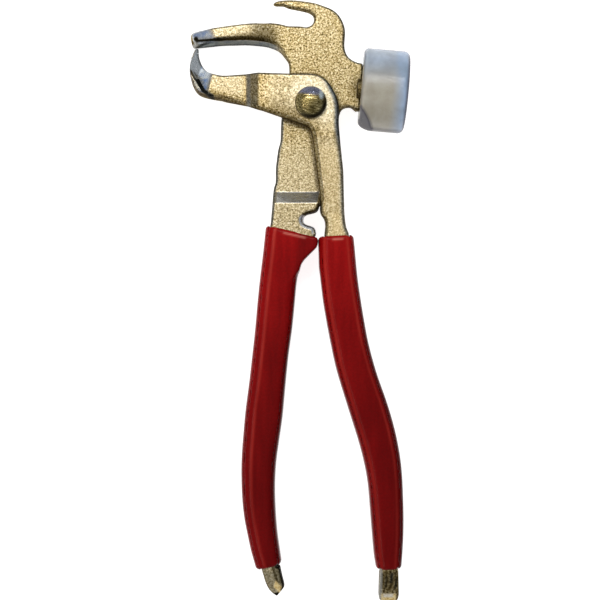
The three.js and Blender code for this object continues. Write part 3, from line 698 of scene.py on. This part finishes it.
def dome_steel():
    """Snapped rivet head: dark brass-gold zinc with diagonal rubbing marks, a painted blue-grey sky reflection on its
    top, a painted glint and painted shade on its lower right side.
    """
    f = Finish("rubbed_rivet")
    scratch = f.noise(1.0, 5, 0.7, f.scaled((0.35, 2.6, 2.6), rot=(0, 0, -0.75)))
    fine, patch = f.noise(2.4, 3, 0.6), f.noise(0.30, 3, 0.6)
    c = f.ramp(f.math("ADD", f.math("MULTIPLY", scratch, 0.72), f.math("MULTIPLY", fine, 0.28)),
               [(0.38, (0.022, 0.016, 0.004)), (0.47, (0.13, 0.10, 0.032)), (0.56, (0.40, 0.33, 0.15)), (0.64, (0.85, 0.76, 0.46))])
    c = f.mix(f.range(patch, 0.4, 0.65, 0, 0.5), c, f.mix(1.0, c, (0.62, 0.60, 0.55), "MULTIPLY"))
    # painted reflection: blue-grey sky seen in the upper side of the dome
    c = f.mix(f.mark("cap"), c, f.ramp(fine, [(0.35, (0.10, 0.105, 0.17)), (0.65, (0.26, 0.28, 0.38))]))
    # painted highlight: a cyan-white glint on the dome
    c = f.mix(f.mark("glint"), c, (0.80, 0.92, 0.95))
    # painted shade: a near-black crescent on the dome's lower right
    c = f.mix(f.mark("painted_lee_shade"), c, f.ramp(fine, [(0.35, (0.008, 0.006, 0.003)), (0.65, (0.035, 0.028, 0.014))]))
    return f.shader(Base_Color=c, Metallic=1.0, Roughness=f.range(scratch, 0.3, 0.7, 0.36, 0.20),
                    Normal=f.bump(f.math("ADD", scratch, f.math("MULTIPLY", fine, 0.4)), 0.00009, 0.8))


def bright_steel(name, spin):
    """Bright zinc on the screw and washer, with turning or rolling marks."""
    f = Finish(name)
    lines = f.noise(1.0, 4, 0.6, f.scaled(spin))
    spots = f.noise(2.2, 3, 0.6)
    c = f.ramp(f.math("ADD", f.math("MULTIPLY", lines, 0.6), f.math("MULTIPLY", spots, 0.4)),
               [(0.3, (0.30, 0.30, 0.30)), (0.5, (0.58, 0.58, 0.57)), (0.68, (0.86, 0.86, 0.84))])
    return f.shader(Base_Color=c, Metallic=1.0, Roughness=f.range(spots, 0.3, 0.7, 0.42, 0.22),
                    Normal=f.bump(f.math("ADD", lines, spots), 0.00004, 0.6))


def nylon():
    """Translucent natural nylon, turned all over, with a few dents in the rim."""
    f = Finish("natural_nylon")
    cloud, fine = f.noise(0.13, 3, 0.55, warp=0.4), f.noise(1.7, 3, 0.6)
    along = f.node("ShaderNodeTexWave", {"Vector": f.scaled((1, 1, 1), rot=(0, 0, -HAMMER_TILT)), "Scale": 1.3,
                                         "Distortion": 0.6, "Detail": 2.0, "Detail Scale": 1.2},
                   wave_type="BANDS", bands_direction="X")
    dents = f.noise(0.6, 4, 0.65)
    warm = f.ramp(cloud, [(0.32, (0.315, 0.295, 0.235)), (0.5, (0.36, 0.34, 0.28)), (0.68, (0.405, 0.39, 0.33))])
    painted_sky_tint = f.ramp(cloud, [(0.32, (0.26, 0.34, 0.45)), (0.5, (0.295, 0.39, 0.54)), (0.68, (0.35, 0.46, 0.64))])
    # painted reflection: bluer on the top and the right end, where sky is seen
    c = f.mix(f.mark("painted_sky_tint"), warm, painted_sky_tint)
    c = f.mix(f.range(fine, 0.35, 0.65, 0, 0.25), c, f.mix(1.0, c, (0.90, 0.88, 0.84), "MULTIPLY"))
    c = f.mix(f.mark("shade"), c, (0.085, 0.08, 0.10))
    height = f.math("ADD", f.math("MULTIPLY", along, 0.25), f.math("ADD", f.math("MULTIPLY", fine, 0.35), dents))
    return f.shader(Base_Color=c, Roughness=f.range(fine, 0.3, 0.7, 0.18, 0.28), IOR=1.53,
                    Specular_IOR_Level=f.range(f.mark("shade"), 0, 0.8, 0.5, 0.03),
                    Subsurface_Weight=0.55, Subsurface_Radius=(0.9, 1.0, 1.1), Subsurface_Scale=0.004,
                    Normal=f.bump(height, 0.00010, 0.5))


def dipped_pvc():
    """Glossy dip-moulded sleeve: deep red with faint runs along its length and small pits."""
    f = Finish("dipped_pvc")
    runs, orange_peel, patch = f.noise(1.0, 3, 0.5, f.scaled((0.35, 0.035, 0.35))), f.noise(0.55, 2, 0.5), f.noise(0.05, 2, 0.5)
    pits = f.noise(2.6, 3, 0.6)
    c = f.ramp(f.math("ADD", f.math("MULTIPLY", runs, 0.6), f.math("MULTIPLY", patch, 0.4)),
               [(0.32, (0.23, 0.0018, 0.0024)), (0.5, (0.295, 0.0030, 0.0036)), (0.68, (0.36, 0.0052, 0.0054))])
    c = f.mix(f.range(f.noise(1.1, 3, 0.6), 0.36, 0.64, 0, 0.5), c, f.mix(1.0, c, (0.66, 0.60, 0.62), "MULTIPLY"))
    c = f.mix(f.range(pits, 0.45, 0.75, 0, 0.5), c, f.mix(1.0, c, (0.72, 0.75, 0.8), "MULTIPLY"))
    # painted shade: darker towards the bottom and right side of each sleeve
    c = f.mix(f.mark("painted_sleeve_shade"), c, f.mix(1.0, c, (0.30, 0.22, 0.25), "MULTIPLY"))
    # painted highlight lines running down the sleeve
    c = f.mix(f.mark("line"), c, f.mix(f.range(runs, 0.35, 0.65), (0.34, 0.020, 0.014), (0.42, 0.034, 0.024)))
    # painted highlight just under the sleeve's top rim
    c = f.mix(f.mark("lip"), c, (0.78, 0.26, 0.20))
    height = f.math("ADD", f.math("MULTIPLY", orange_peel, 0.8), f.math("MULTIPLY", pits, 0.06))
    return f.shader(Base_Color=c, Roughness=f.range(pits, 0.3, 0.7, 0.20, 0.30), Specular_IOR_Level=0.07,
                    Normal=f.bump(height, 0.00007, 0.55))


# ------------------------------------------------------------------ the pieces
def read(v, *names):
    return [levers.read(n, v[:, 0], v[:, 1]) for n in names]


# main lever
v, q = surface_net(main_field, (-50, -198.6, -4.5), (21.5, 44, 14.5), 0.42, levers,
                   ("main", "jaw", "grip_edge", "jaw_left", "lip"))
x, y, z = v.T
m, j, ge, lip, lt, ml, cl, nk = read(v, "main", "jaw", "grip_edge", "lip", "lip_top", "main_left", "claw", "neck")
upper = step(-9, -16, x) * (y > 15) * (y < 34)
bare = step(STEP_HI + 0.25, STEP_HI - 0.25, y) * step(STEP_LO - 0.25, STEP_LO + 0.25, y) * (z > 5.5) * step(-1.2, -1.8, m)
bare = np.maximum(bare, step(1.9, 1.5, lip) * step(-52.5, -51.5, y) * (z > 5))
under = upper * step(1.9, 1.5, ge) * step(-9, -16, x)
facet = step(-38.2, -41.6, x + 0.5 * (y - 29)) * (y > 18) * (z > 3.5)
# painted highlight on the upper jaw, the ground step and the handle shank
painted_light = np.maximum(upper * step(-18, -28, x) * step(-40.5, -37.5, x) * step(2.4, 4.2, ge) * 0.30, bare * (y < -20))
painted_light = np.maximum(painted_light, 0.22 * step(-12, -26, y) * (m < -1))
bare = np.maximum(bare, np.maximum(0.9 * facet, 0.72 * under))
painted_light = painted_light * np.where(y > 0, 1 - facet, 1)
# painted shade along the outline, under the upper jaw, beside the jaw lever and under the notch's upper lip
dark = 0.45 * step(1.1, 0.1, -m) * (z > 2)
dark = np.maximum(dark, upper * step(1.3, 1.9, ge) * step(3.9 + 2.6 * step(-36, -24, x), 2.3, ge) * step(-8, -20, x))
dark = np.maximum(dark, upper * step(9.0, 2.5, ge) * step(-28, -20, x) * step(-5, -14, x) * 0.55)
dark = np.maximum(dark, 0.45 * step(1.8, 0.2, j) * (z > PLATE_T - 0.4) * (z < PLATE_T + 0.5) * (y > -36))
dark = np.maximum(dark, 0.95 * step(1.7, 1.1, lt) * (z > 3))
# painted shade: a dark spot and line at the nose tip, where no hollow is modelled
painted_hollow_shade = step(1.4, 0.7, np.hypot(x + 46.0, y - 26.3)) * (z > 4)
painted_hollow_shade = np.maximum(painted_hollow_shade, step(0.75, 0.35, np.abs(y - 25.5 - 0.02 * (x + 46))) * step(-46.5, -45.8, x) * step(-34, -36, x) * (z > 4))
nosetip = step(-44.6, -45.4, x) * (y > 18) * step(25.8, 25.2, y) + step(-46.9, -47.5, x) * (y > 18)
# painted shade on the upper jaw's underside and its nose tip
painted_steel_shade = np.maximum(0.95 * under * step(-47, -45, x), 0.60 * np.clip(nosetip, 0, 1))
# painted sky reflection on the nose facet, the upper jaw's underside, the ground step and the notch's lower lip
painted_sky_blue = np.maximum(step(-47.4, -46.6, x) * step(26.4, 27.4, y) * step(-0.3, -1.1, m) * step(-39.0, -41.7, x + 0.5 * (y - 29)), 0.30 * under)
dark = np.maximum(dark, 0.7 * under)
painted_sky_blue = np.maximum(np.maximum(painted_sky_blue, 0.22 * bare * (y < -20)), 0.5 * step(1.5, 0.8, lip) * (z > 4))
# painted dark reflection along the left edge, the claw and the neck
painted_reflection_shade = 0.80 * step(1.7, 0.5, ml) * (y < 9) + 0.65 * step(1.2, 0.3, cl) * step(2, 8, x) + 0.35 * step(0.9, 0.2, nk)
# painted shade on the neck as it turns up into the boss by the nylon head
boss_shade_dist = np.hypot(y - 6.2, 1.25 * (x - 20.0))
dark = np.maximum(dark, (0.42 * step(8.0, 4.0, boss_shade_dist) + 0.24 * step(4.2, 3.2, boss_shade_dist)) * (x > 14))
painted_reflection_shade = np.maximum(painted_reflection_shade, upper * step(3.3, 2.7, ge) * step(1.5, 2.0, ge) * step(-28, -40, x) * 0.8)
painted_reflection_shade = np.maximum(painted_reflection_shade, 0.35 * step(-19, -22.5, x) * step(-27.5, -24, x) * upper * step(6.5, 8.5, ge))
dark = np.maximum(dark, painted_hollow_shade)
painted_reflection_shade = np.maximum(painted_reflection_shade, 0.85 * painted_hollow_shade)
bare = bare * (1 - painted_hollow_shade)
# the handle's point: painted shade on its sides and end, painted highlight and a painted gold glint on one small facet
side = x - point_ridge(y)
tip = step(-182.5, -183.5, y) * (z > 1)
ridge = step(0.75, 0.35, np.abs(side - 0.2)) * step(-192.6, -191.6, y)
gem = step(1.65, 1.2, np.abs(side + 0.35) * 0.9 + np.abs(y + 192.6) * 0.55)
nib = step(2.4, 1.7, y + 197 + 0.35 * np.abs(x + 13.4)) + step(0.95, 0.55, -m) * step(0, 0.6, side) * 0.8
bare = np.where(tip > 0, 0.0, bare)
dark = np.where(tip > 0, 0.50 + 0.14 * step(0.4, 1.0, side) + 0.45 * ridge - 0.5 * gem + 0.30 * step(1.3, 0.3, -m) * step(-184.5, -187, y), dark)
dark = np.where(tip > 0, dark + 0.5 * nib - 0.22 * np.exp(-((side + 1.5) / 0.7) ** 2), dark)
painted_reflection_shade = np.where(tip > 0, np.clip(nib + 0.35 * step(1.0, 0.4, -m), 0, 0.97), painted_reflection_shade)
painted_light = np.where(tip > 0, 0.55 + 0.4 * gem, painted_light)
# painted gold glint on the point's small facet and the nose tip
painted_gold_glint = np.where(tip > 0, 0.95 * gem * (1 - np.clip(nib, 0, 1)), 0.10 * np.clip(nosetip, 0, 1) * (1 - painted_hollow_shade))
painted_sky_blue = painted_sky_blue * (1 - tip) * np.where(x < -38, 0.62, 1)
main_zinc, jaw_zinc = zinc("zinc_main"), zinc("zinc_jaw", (1.02, 1.0, 0.96))
piece("lever_main", v, q, main_zinc, "main", "main_lever",
      {"bare": bare, "dark": np.clip(dark, 0, 1), "painted_steel_shade": np.clip(painted_steel_shade, 0, 1), "painted_sky_blue": np.clip(painted_sky_blue, 0, 1),
       "painted_reflection_shade": np.clip(painted_reflection_shade, 0, 1), "painted_highlight": np.clip(painted_light, 0, 1), "painted_gold_glint": np.clip(painted_gold_glint, 0, 1)})

# jaw lever
v, q = surface_net(jaw_field, (-49.6, -199.6, -0.9), (37.6, 24.2, 13.2), 0.42, levers, ("jaw", "jaw_left", "jaw_top"))
x, y, z = v.T
j, jl, jt = read(v, "jaw", "jaw_left", "jaw_top")
rim = hook_rim(x, y)
left_of = -38.9 + 0.26 * (y - 12.5) - x
soft = left_of + 0.5 * np.sin(1.3 * y) - 0.2
flank = step(0.2, 0.8, (x + 43.2) * -0.93 + (y - 15.1) * 0.37) * (x < -40) * (y > 8)
facet = step(0.0, 1.2, left_of) * step(-0.1, 0.2, rim) * (z > 0.8)
bare = step(-0.6, 1.4, left_of) * step(-0.1, 0.2, rim) * (z > 0.8) * (x < -35)
# painted shade on the hook's flank and beside its ground face
painted_steel_shade = 0.48 * flank + 0.35 * (1 - flank) * step(1.2, 0.0, left_of)
# painted sky reflection on the hook's ground facet
painted_sky_blue = (1 - flank) * step(0.6, 2.0, left_of) * (0.92 + 0.08 * step(11, 14, y))
# painted shade along the jaw lever's inner edge, its outline and the hook rim
dark = (0.45 - 0.2 * step(-12, -20, y)) * step(4.2, 0.6, jl) * step(-46, -36, y) + 0.40 * step(1.1, 0.1, -j) * (z > 3)
joggle = step(-20.2, -22.2, x) * step(-26.2, -24.8, x) * (z > 7)
dark = np.maximum(dark, 0.50 * step(9.0, 1.5, jl) * step(-24, -14, x) * step(5, -5, x))
# painted highlight round the rivet, along the shank and on the joggle
painted_highlight = 0.82 * step(14, 8, np.hypot(x, y)) * step(2.5, 6.0, jl) * (y > -14) * (0.45 + 0.55 * step(-5, 3, x + y))
painted_highlight = np.maximum(painted_highlight, 0.22 * step(1.5, 5, jl) * step(-20, -14, x) * (y > -12))
painted_highlight = np.maximum(painted_highlight, (0.30 + 0.08 * step(-44, -36, y)) * step(-10, -18, y) * step(0.8, 2.8, jl) * (y > -60))
painted_highlight = np.maximum(painted_highlight, 0.30 * step(-25.5, -28, x) * step(-40.5, -39, x) * step(2, 4.5, jl))
dark = np.maximum(dark, 0.25 * step(-0.2, -0.7, rim) * (x < -38) * (y < 12))
# painted shade: a thin dark crease between the hook's ground face and its rim
crease = step(1.0, 0.65, np.abs(rim - 0.45)) * (x < -38.6) * (y < 10.6) * (z > 1)
high = step(-22, -10, y)
# painted dark reflection along the top edge and shoulder, painted shade on the joggle and in the crease, dark streaks
# on the blade
painted_reflection_shade = (0.92 * high * step(2.7, 1.2, jt) + 0.62 * (1 - high) * step(1.9, 0.8, jt)) * step(4, 8, x) * (z > 8) + 0.55 * step(1.2, 0.4, jt) * step(9, 5, x) * step(-24, -22, x)
painted_reflection_shade = painted_reflection_shade + 0.05 * joggle + 0.35 * joggle * step(4.5, 1.5, jl) + 0.25 * step(1.6, 0.4, jt) * (x < -24)
painted_reflection_shade = np.maximum(painted_reflection_shade, 0.97 * crease)
dark = np.maximum(dark, 0.9 * crease)
# painted shade on the hook's outer rim and its tip edge
edge = (x < -40.6) * (y > 9.5) * step(0.8, 0.2, -j)
outer = step(-0.15, -0.5, rim) * (x < -38) * (y < 12) * (z > 4.4) * step(0.5, 1.0, -j)
bare = np.maximum(np.maximum(bare, edge), np.maximum(0.5 * outer, 0.22 * joggle * step(-23.4, -24.6, x))) * (1 - crease)
painted_steel_shade = np.maximum(painted_steel_shade, 0.80 * outer)
painted_highlight = np.maximum(painted_highlight, 0.2 * joggle * step(0.5, 3.5, jl))
# painted shade across the joggle's step
dark = np.maximum(dark, (0.56 * step(-26.2, -25.0, x) * step(-19.2, -22.9, x) + 0.12 * step(-13.0, -19.6, x) * step(-22.6, -20.6, x)) * (z > 7) * (y > -14))
painted_steel_shade = np.maximum(painted_steel_shade, 0.9 * edge)
# the blade at the handle's end: darkened overall with streaks, with a painted highlight on its last facet
blade = (y < -184) & (z > 3)
col = x - 0.12 * (y + 190)
streak = 0.5 + 0.28 * np.sin(3.4 * col + 1.4 * np.sin(0.7 * y)) + 0.22 * np.sin(5.3 * col + 0.9 * y) * np.sin(1.9 * y)
inky = np.exp(-((col - 32.0) / 0.75) ** 2) * step(-186.2, -187.2, y) * step(-191.6, -190.6, y)
inky = np.maximum(inky, np.exp(-((col - 30.0) / 0.40) ** 2) * step(-187.5, -188.5, y) * step(-193.5, -192, y) * 0.8)
inky = np.maximum(inky, np.exp(-((col - 34.1) / 0.45) ** 2) * step(-188.0, -189.5, y) * step(-194, -193, y))
strip = step(28.6, 28.2, x)
# painted highlight on the blade's last facet, whitest in a band near its end
last = step(-195.2, -195.9, y) * step(27.9, 28.6, x) * step(34.3, 33.6, x)
painted_shine = last * step(-197.4, -196.7, y) * step(28.2, 29.4, x) * step(33.6, 32.4, x)
bare = np.where(y < -184, 0.5 * strip * (1 - last) + 0.95 * painted_shine, bare)
painted_steel_shade = np.where(y < -184, 0.35 * (1 - painted_shine), painted_steel_shade)
dark = np.where(y < -184, np.where(blade, 0.42 + 0.75 * streak - 0.30 * strip, 0.7) - 0.9 * last, dark)
dark = np.where(y < -184, dark - 0.22 * step(-192.6, -194.4, y) * (1 - last) - 0.3 * step(-187.0, -185.8, y), dark)
painted_reflection_shade = np.where(y < -184, 0.97 * inky * (1 - last) * (1 - strip) * (0.6 + 0.4 * streak), painted_reflection_shade)
painted_highlight = np.where(y < -184, 0.9 * last + 0.3 * strip + 0.1 * painted_shine, painted_highlight)
painted_sky_blue = np.where(y < -184, 0, painted_sky_blue)
piece("lever_jaw", v, q, jaw_zinc, "jaw", "jaw_lever",
      {"bare": bare, "dark": np.clip(dark, 0, 1), "painted_steel_shade": np.clip(painted_steel_shade, 0, 1), "painted_sky_blue": np.clip(painted_sky_blue, 0, 1),
       "painted_reflection_shade": np.clip(painted_reflection_shade, 0, 1), "painted_highlight": np.clip(painted_highlight, 0, 1), "painted_gold_glint": np.where(y < -184, 0.90 * last * (1 - 0.65 * painted_shine), 0.26 * step(-12, -20, y) * step(1.2, 3.5, jl) * step(1.0, 3.0, jt) * (y > -60) * (z > 7))})

# grips
skins = Plan((-31, -192), (40, -46), 0.4)
skins.add("left", outline_distance(left_skin, skins.x, skins.y))
skins.add("right", outline_distance(right_skin, skins.x, skins.y))
skins.add("spur", outline_distance(spur_line, skins.x, skins.y))
skins.add("main", levers.read("main", skins.x, skins.y))
skins.add("jaw", levers.read("jaw", skins.x, skins.y))
pvc = dipped_pvc()
left = grip_field("left", "main", [((-16.8, -48.7), (4.4, 19.25), 1.5), ((-12.2, -183.6), (1.9, -7.7), 1.5)], "spur")
right = grip_field("right", "jaw", [((3.3, -53.0), (-0.7, 13), 1.5), ((31.5, -185.5), (0.3, -8.5), 1.3)])
v, q = surface_net(left, (-29.5, -188.5, -2.3), (4.5, -47.5, 12.8), 0.5, skins, ("left", "main", "spur"))
def sleeve_marks(v, names, outline, lines, rim):
    """Painted shade, darker towards the bottom of the sleeve and towards its right side, and painted highlight lines
    that run down it and under its top rim.
    """
    x, y, z = v.T
    edge = skins.read(names, x, y)
    inner = np.array(outline[0]), np.array(outline[1])
    a = np.interp(y, inner[0][:, 1], inner[0][:, 0])
    b = np.interp(y, inner[1][:, 1], inner[1][:, 0])
    across = np.clip((x - a) / np.maximum(b - a, 1), 0, 1)
    # painted shade, growing towards the bottom, the right side and the right edge
    painted_sleeve_shade = np.interp(y, [-190, -170, -120, -90, -60, -45], [0.70, 0.74, 0.66, 0.42, 0.10, 0.0])
    painted_sleeve_shade = painted_sleeve_shade + (across - 0.45) * 0.30 * step(-50, -80, y) + 0.45 * step(2.2, 0.2, -edge) * step(0.3, 0.8, across)
    # painted highlight lines at set distances from the sleeve's edges, fading towards the bottom
    line = np.zeros(len(x))
    for where, width, level in lines:
        line += level * np.exp(-(((x - a if where > 0 else x - b) - where) / width) ** 2)
    line = line * np.interp(y, [-190, -150, -110, -60, -52], [0.25, 0.42, 0.55, 0.75, 1.0]) * (z > 6)
    # painted highlight just under the top rim
    (px, py), (nx, ny), x0, x1 = rim
    under = -((x - px) * nx + (y - py) * ny) / math.hypot(nx, ny)
    lip = np.exp(-((under - 1.55) / 0.38) ** 2) * step(x0, x0 + 1.2, x) * step(x1, x1 - 1.2, x) * (z > 9)
    return {"painted_sleeve_shade": np.clip(painted_sleeve_shade, 0, 1), "line": np.clip(line, 0, 1), "lip": np.clip(lip, 0, 1) * 0.5}


left_run = sorted(LG_OUTER[1:-1], key=lambda p: p[1]), sorted([(-3.3, -50), (-4.0, -58)] + LG_INNER[7:], key=lambda p: p[1])
right_run = sorted(RG_INNER, key=lambda p: p[1]), sorted(RG_OUTER, key=lambda p: p[1])
piece("sleeve_left", v, q, pvc, "main", "left_grip", sleeve_marks(v, "left", left_run, [(4.0, 0.5, 1.0)], ((-16.8, -48.7), (4.4, 19.25), -11.5, -1.5)))
v, q = surface_net(right, (2.0, -190, -2.3), (39, -51, 12.8), 0.5, skins, ("right", "jaw"))
piece("sleeve_right", v, q, pvc, "jaw", "right_grip",
      sleeve_marks(v, "right", right_run, [(2.4, 0.5, 0.85), (-2.8, 0.5, 0.7)], ((3.3, -53.0), (-0.7, 13), 8.0, 13.5)))

# rivet: shank, countersunk tail and domed head with a small flat rim
profile = [(0, 0.02), (5.7, 0.02), (5.95, 0.12), (4.0, 2.2), (4.0, 12.4), (5.9, 12.4), (6.25, 12.55), (6.3, 12.9), (6.3, 13.3)]
for i in range(1, 33):
    a = i / 32 * math.pi / 2
    profile.append((6.3 * math.cos(a) if i < 32 else 0, 13.3 + 3.6 * math.sin(a)))
v, q = lathe(profile, 120)
x, y, z = v.T
rad = np.hypot(x, y)
# painted sky reflection on the dome's upper side
cap = step(2.2, 3.6, y + 0.12 * x) * (z > 13) * 0.95
# painted glint on the dome's upper right
glint = step(1.3, 0.4, np.hypot((x - 4.3) * 0.9, (y - 2.6) * 0.55)) * (z > 13) * 0.9
# painted shade on the lower right rim of the dome
painted_lee_shade = step(4.3, 5.6, rad) * step(-0.2, 0.75, (0.45 * x - 0.9 * y) / np.maximum(rad, 0.1)) * (z > 12)
piece("rivet", v, q, dome_steel(), "main", "pivot_rivet",
      {"cap": cap, "glint": glint, "painted_lee_shade": np.clip(painted_lee_shade, 0, 1)}, angle=math.radians(50))


# nylon head on its own grid: u along its axis, p and s across it
def head_field(x, y, z):
    u, w, rho = hammer_axes(x, y, z)
    f = rint(rho - HAMMER_R, u - HAMMER_L / 2, 2.5)
    f = rint(f, -HAMMER_L / 2 - u, 1.9)
    f = smax(f, np.where(u < 1.8, 4.7, 2.75) - rho, 0.3)
    f = rint(f, -np.maximum(rho - 7.0, HAMMER_L / 2 - 4.2 - u), 0.5)
    cut = (x - 23.3) * -0.755 + (y + 10.5) * -0.635 + (z - 5.0) * 0.164
    return smax(f, cut, 0.9)


v, q = surface_net(head_field, (17.5, -13.5, -12.6), (42.5, 24.5, 22.6), 0.42)
u, w, rho = hammer_axes(*v.T)
cut = (v[:, 0] - 23.3) * -0.755 + (v[:, 1] + 10.5) * -0.635 + (v[:, 2] - 5.0) * 0.164
piece("nylon_head", v, q, nylon(), "main", "hammer_head",
      {"shade": np.clip(0.9 * step(-0.35, -0.05, cut) * (rho > 5) + 0.5 * step(-0.9, -0.5, cut) * (rho > 12)
                        + 0.70 * step(15.0, 16.2, np.abs(w)) + 0.90 * step(7.7, 8.9, u) + 0.45 * step(-8.2, -9.1, u) * (rho > 12), 0, 1),
       # painted sky reflection on the top and the right end
       "painted_sky_tint": np.clip(0.7 * step(-2, 12, w) + step(2.0, 8.5, u), 0, 1)})

profile = [(2.8, 5.15), (2.9, 5.06), (6.25, 5.06), (6.4, 5.2), (6.4, 5.9), (6.25, 6.04), (2.9, 6.04), (2.8, 5.95)]
v, q = lathe(profile, 72)
piece("washer", on_hammer(v), q, bright_steel("bright_washer", (3.0, 0.7, 0.7)), "main", "hammer_washer",
      {}, angle=math.radians(40))


def screw_field(x, y, z):
    r = np.hypot(x, y)
    head = rint(r - 4.7, np.maximum(z - 9.0, 6.1 - z), 0.45)
    stem = np.maximum(r - 2.45, np.maximum(z - 7, -7 - z)) + 0.09 * np.abs(((z * 1.25 + np.arctan2(y, x) / (2 * math.pi)) % 1) - 0.5) * (z < 4.5)
    hexagon = np.maximum(np.abs(x), np.maximum(np.abs(0.5 * x + 0.866 * y), np.abs(0.5 * x - 0.866 * y))) - 1.72
    return smax(np.minimum(head, stem), -np.maximum(hexagon, 6.4 - z), 0.15)


v, q = surface_net(screw_field, (-5.2, -5.2, -7.5), (5.2, 5.2, 10), 0.17)
piece("socket_screw", on_hammer(v), q, bright_steel("bright_screw", (0.9, 0.9, 2.2)), "main", "hammer_screw")

# ------------------------------------------------------------------ floor, light and camera
rest_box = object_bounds()
floor_mesh = bpy.data.meshes.new("floor")
s = 5.0
n = 40
grid = [(s * (2 * i / n - 1), s * (2 * k / n - 1), 0) for i in range(n + 1) for k in range(n + 1)]
floor_mesh.from_pydata(grid, [], [(a, a + n + 1, a + n + 2, a + 1) for i in range(n) for a in range(i * (n + 1), i * (n + 1) + n)])
floor = bpy.data.objects.new("floor", floor_mesh)
bpy.context.collection.objects.link(floor)
fm = bpy.data.materials.new("pale_board")
fm.use_nodes = True
t = fm.node_tree
b = t.nodes["Principled BSDF"]
b.inputs["Roughness"].default_value = 0.85
b.inputs["Specular IOR Level"].default_value = 0.1
b.inputs["Emission Strength"].default_value = FLOOR_GLOW
b.inputs["Emission Color"].default_value = (1, 1, 1, 1)
tn = t.nodes.new("ShaderNodeTexNoise")
tn.inputs["Scale"].default_value = 18
tr = t.nodes.new("ShaderNodeValToRGB")
tr.color_ramp.elements[0].color = (0.56, 0.56, 0.56, 1)
tr.color_ramp.elements[1].color = (0.60, 0.60, 0.60, 1)
t.links.new(tn.outputs[0], tr.inputs[0])
t.links.new(tr.outputs[0], b.inputs["Base Color"])
floor_mesh.materials.append(fm)

TURN = TOOL @ Matrix.Scale(1000, 4)


def placed(x, y, z):
    """A matrix at a tool-frame place in millimetres, with the tool frame's attitude."""
    return TURN @ Matrix.Translation(Vector((x, y, z)) / 1000)


def softbox(name, at, aim, size, power, colour=(1, 1, 1)):
    d = bpy.data.lights.new(name, "AREA")
    d.shape, d.size, d.size_y = "RECTANGLE", size[0], size[1]
    d.energy, d.color = power, colour
    o = bpy.data.objects.new(name, d)
    bpy.context.collection.objects.link(o)
    a, b = TURN @ (Vector(at) / 1000), TURN @ (Vector(aim) / 1000)
    o.location = a
    o.rotation_euler = (b - a).to_track_quat("-Z", "Y").to_euler()
    return o


for light in LIGHTS:
    softbox(*light)

world = bpy.data.worlds.new("studio")
bpy.context.scene.world = world
world.use_nodes = True
t = world.node_tree
t.nodes.clear()
g = t.nodes.new("ShaderNodeTexCoord")
sep = t.nodes.new("ShaderNodeSeparateXYZ")
t.links.new(g.outputs["Generated"], sep.inputs[0])


def wmath(op, a, b=0.0, c=None):
    n = t.nodes.new("ShaderNodeMath")
    n.operation = op
    for i, v in enumerate((a, b) if c is None else (a, b, c)):
        if isinstance(v, bpy.types.NodeSocket):
            t.links.new(v, n.inputs[i])
        else:
            n.inputs[i].default_value = v
    return n.outputs[0]


# bright overhead, falling to a dark horizon on the far right
side = wmath("ADD", wmath("MULTIPLY", sep.outputs[0], SKY_X), wmath("MULTIPLY", sep.outputs[1], SKY_Y))
side = wmath("ADD", side, wmath("MULTIPLY", wmath("ABSOLUTE", sep.outputs[1]), SKY_YY))
level = wmath("ADD", wmath("MULTIPLY", sep.outputs[2], SKY_Z), side)
wr = t.nodes.new("ShaderNodeValToRGB")
t.links.new(wmath("ADD", level, SKY_0), wr.inputs[0])
e = wr.color_ramp.elements
while len(e) < len(SKY):
    e.new(0.5)
for a, (p, c) in zip(e, SKY):
    a.position, a.color = p, (*c, 1)
bg = t.nodes.new("ShaderNodeBackground")
bg.inputs["Strength"].default_value = 1.0
t.links.new(wr.outputs[0], bg.inputs["Color"])
wo = t.nodes.new("ShaderNodeOutputWorld")
t.links.new(bg.outputs[0], wo.inputs[0])

cam = bpy.data.cameras.new("camera")
cam.lens, cam.sensor_width, cam.sensor_fit = 96, 36, "HORIZONTAL"
cam.clip_start, cam.clip_end = 0.01, 10
co = bpy.data.objects.new("camera", cam)
bpy.context.collection.objects.link(co)
co.matrix_world = placed(-4.27, -78.3, 646)
scene = bpy.context.scene
scene.camera = co
scene.view_settings.view_transform = "Standard"
scene.view_settings.look = "None"
scene.view_settings.exposure = 0
scene.view_settings.gamma = 1
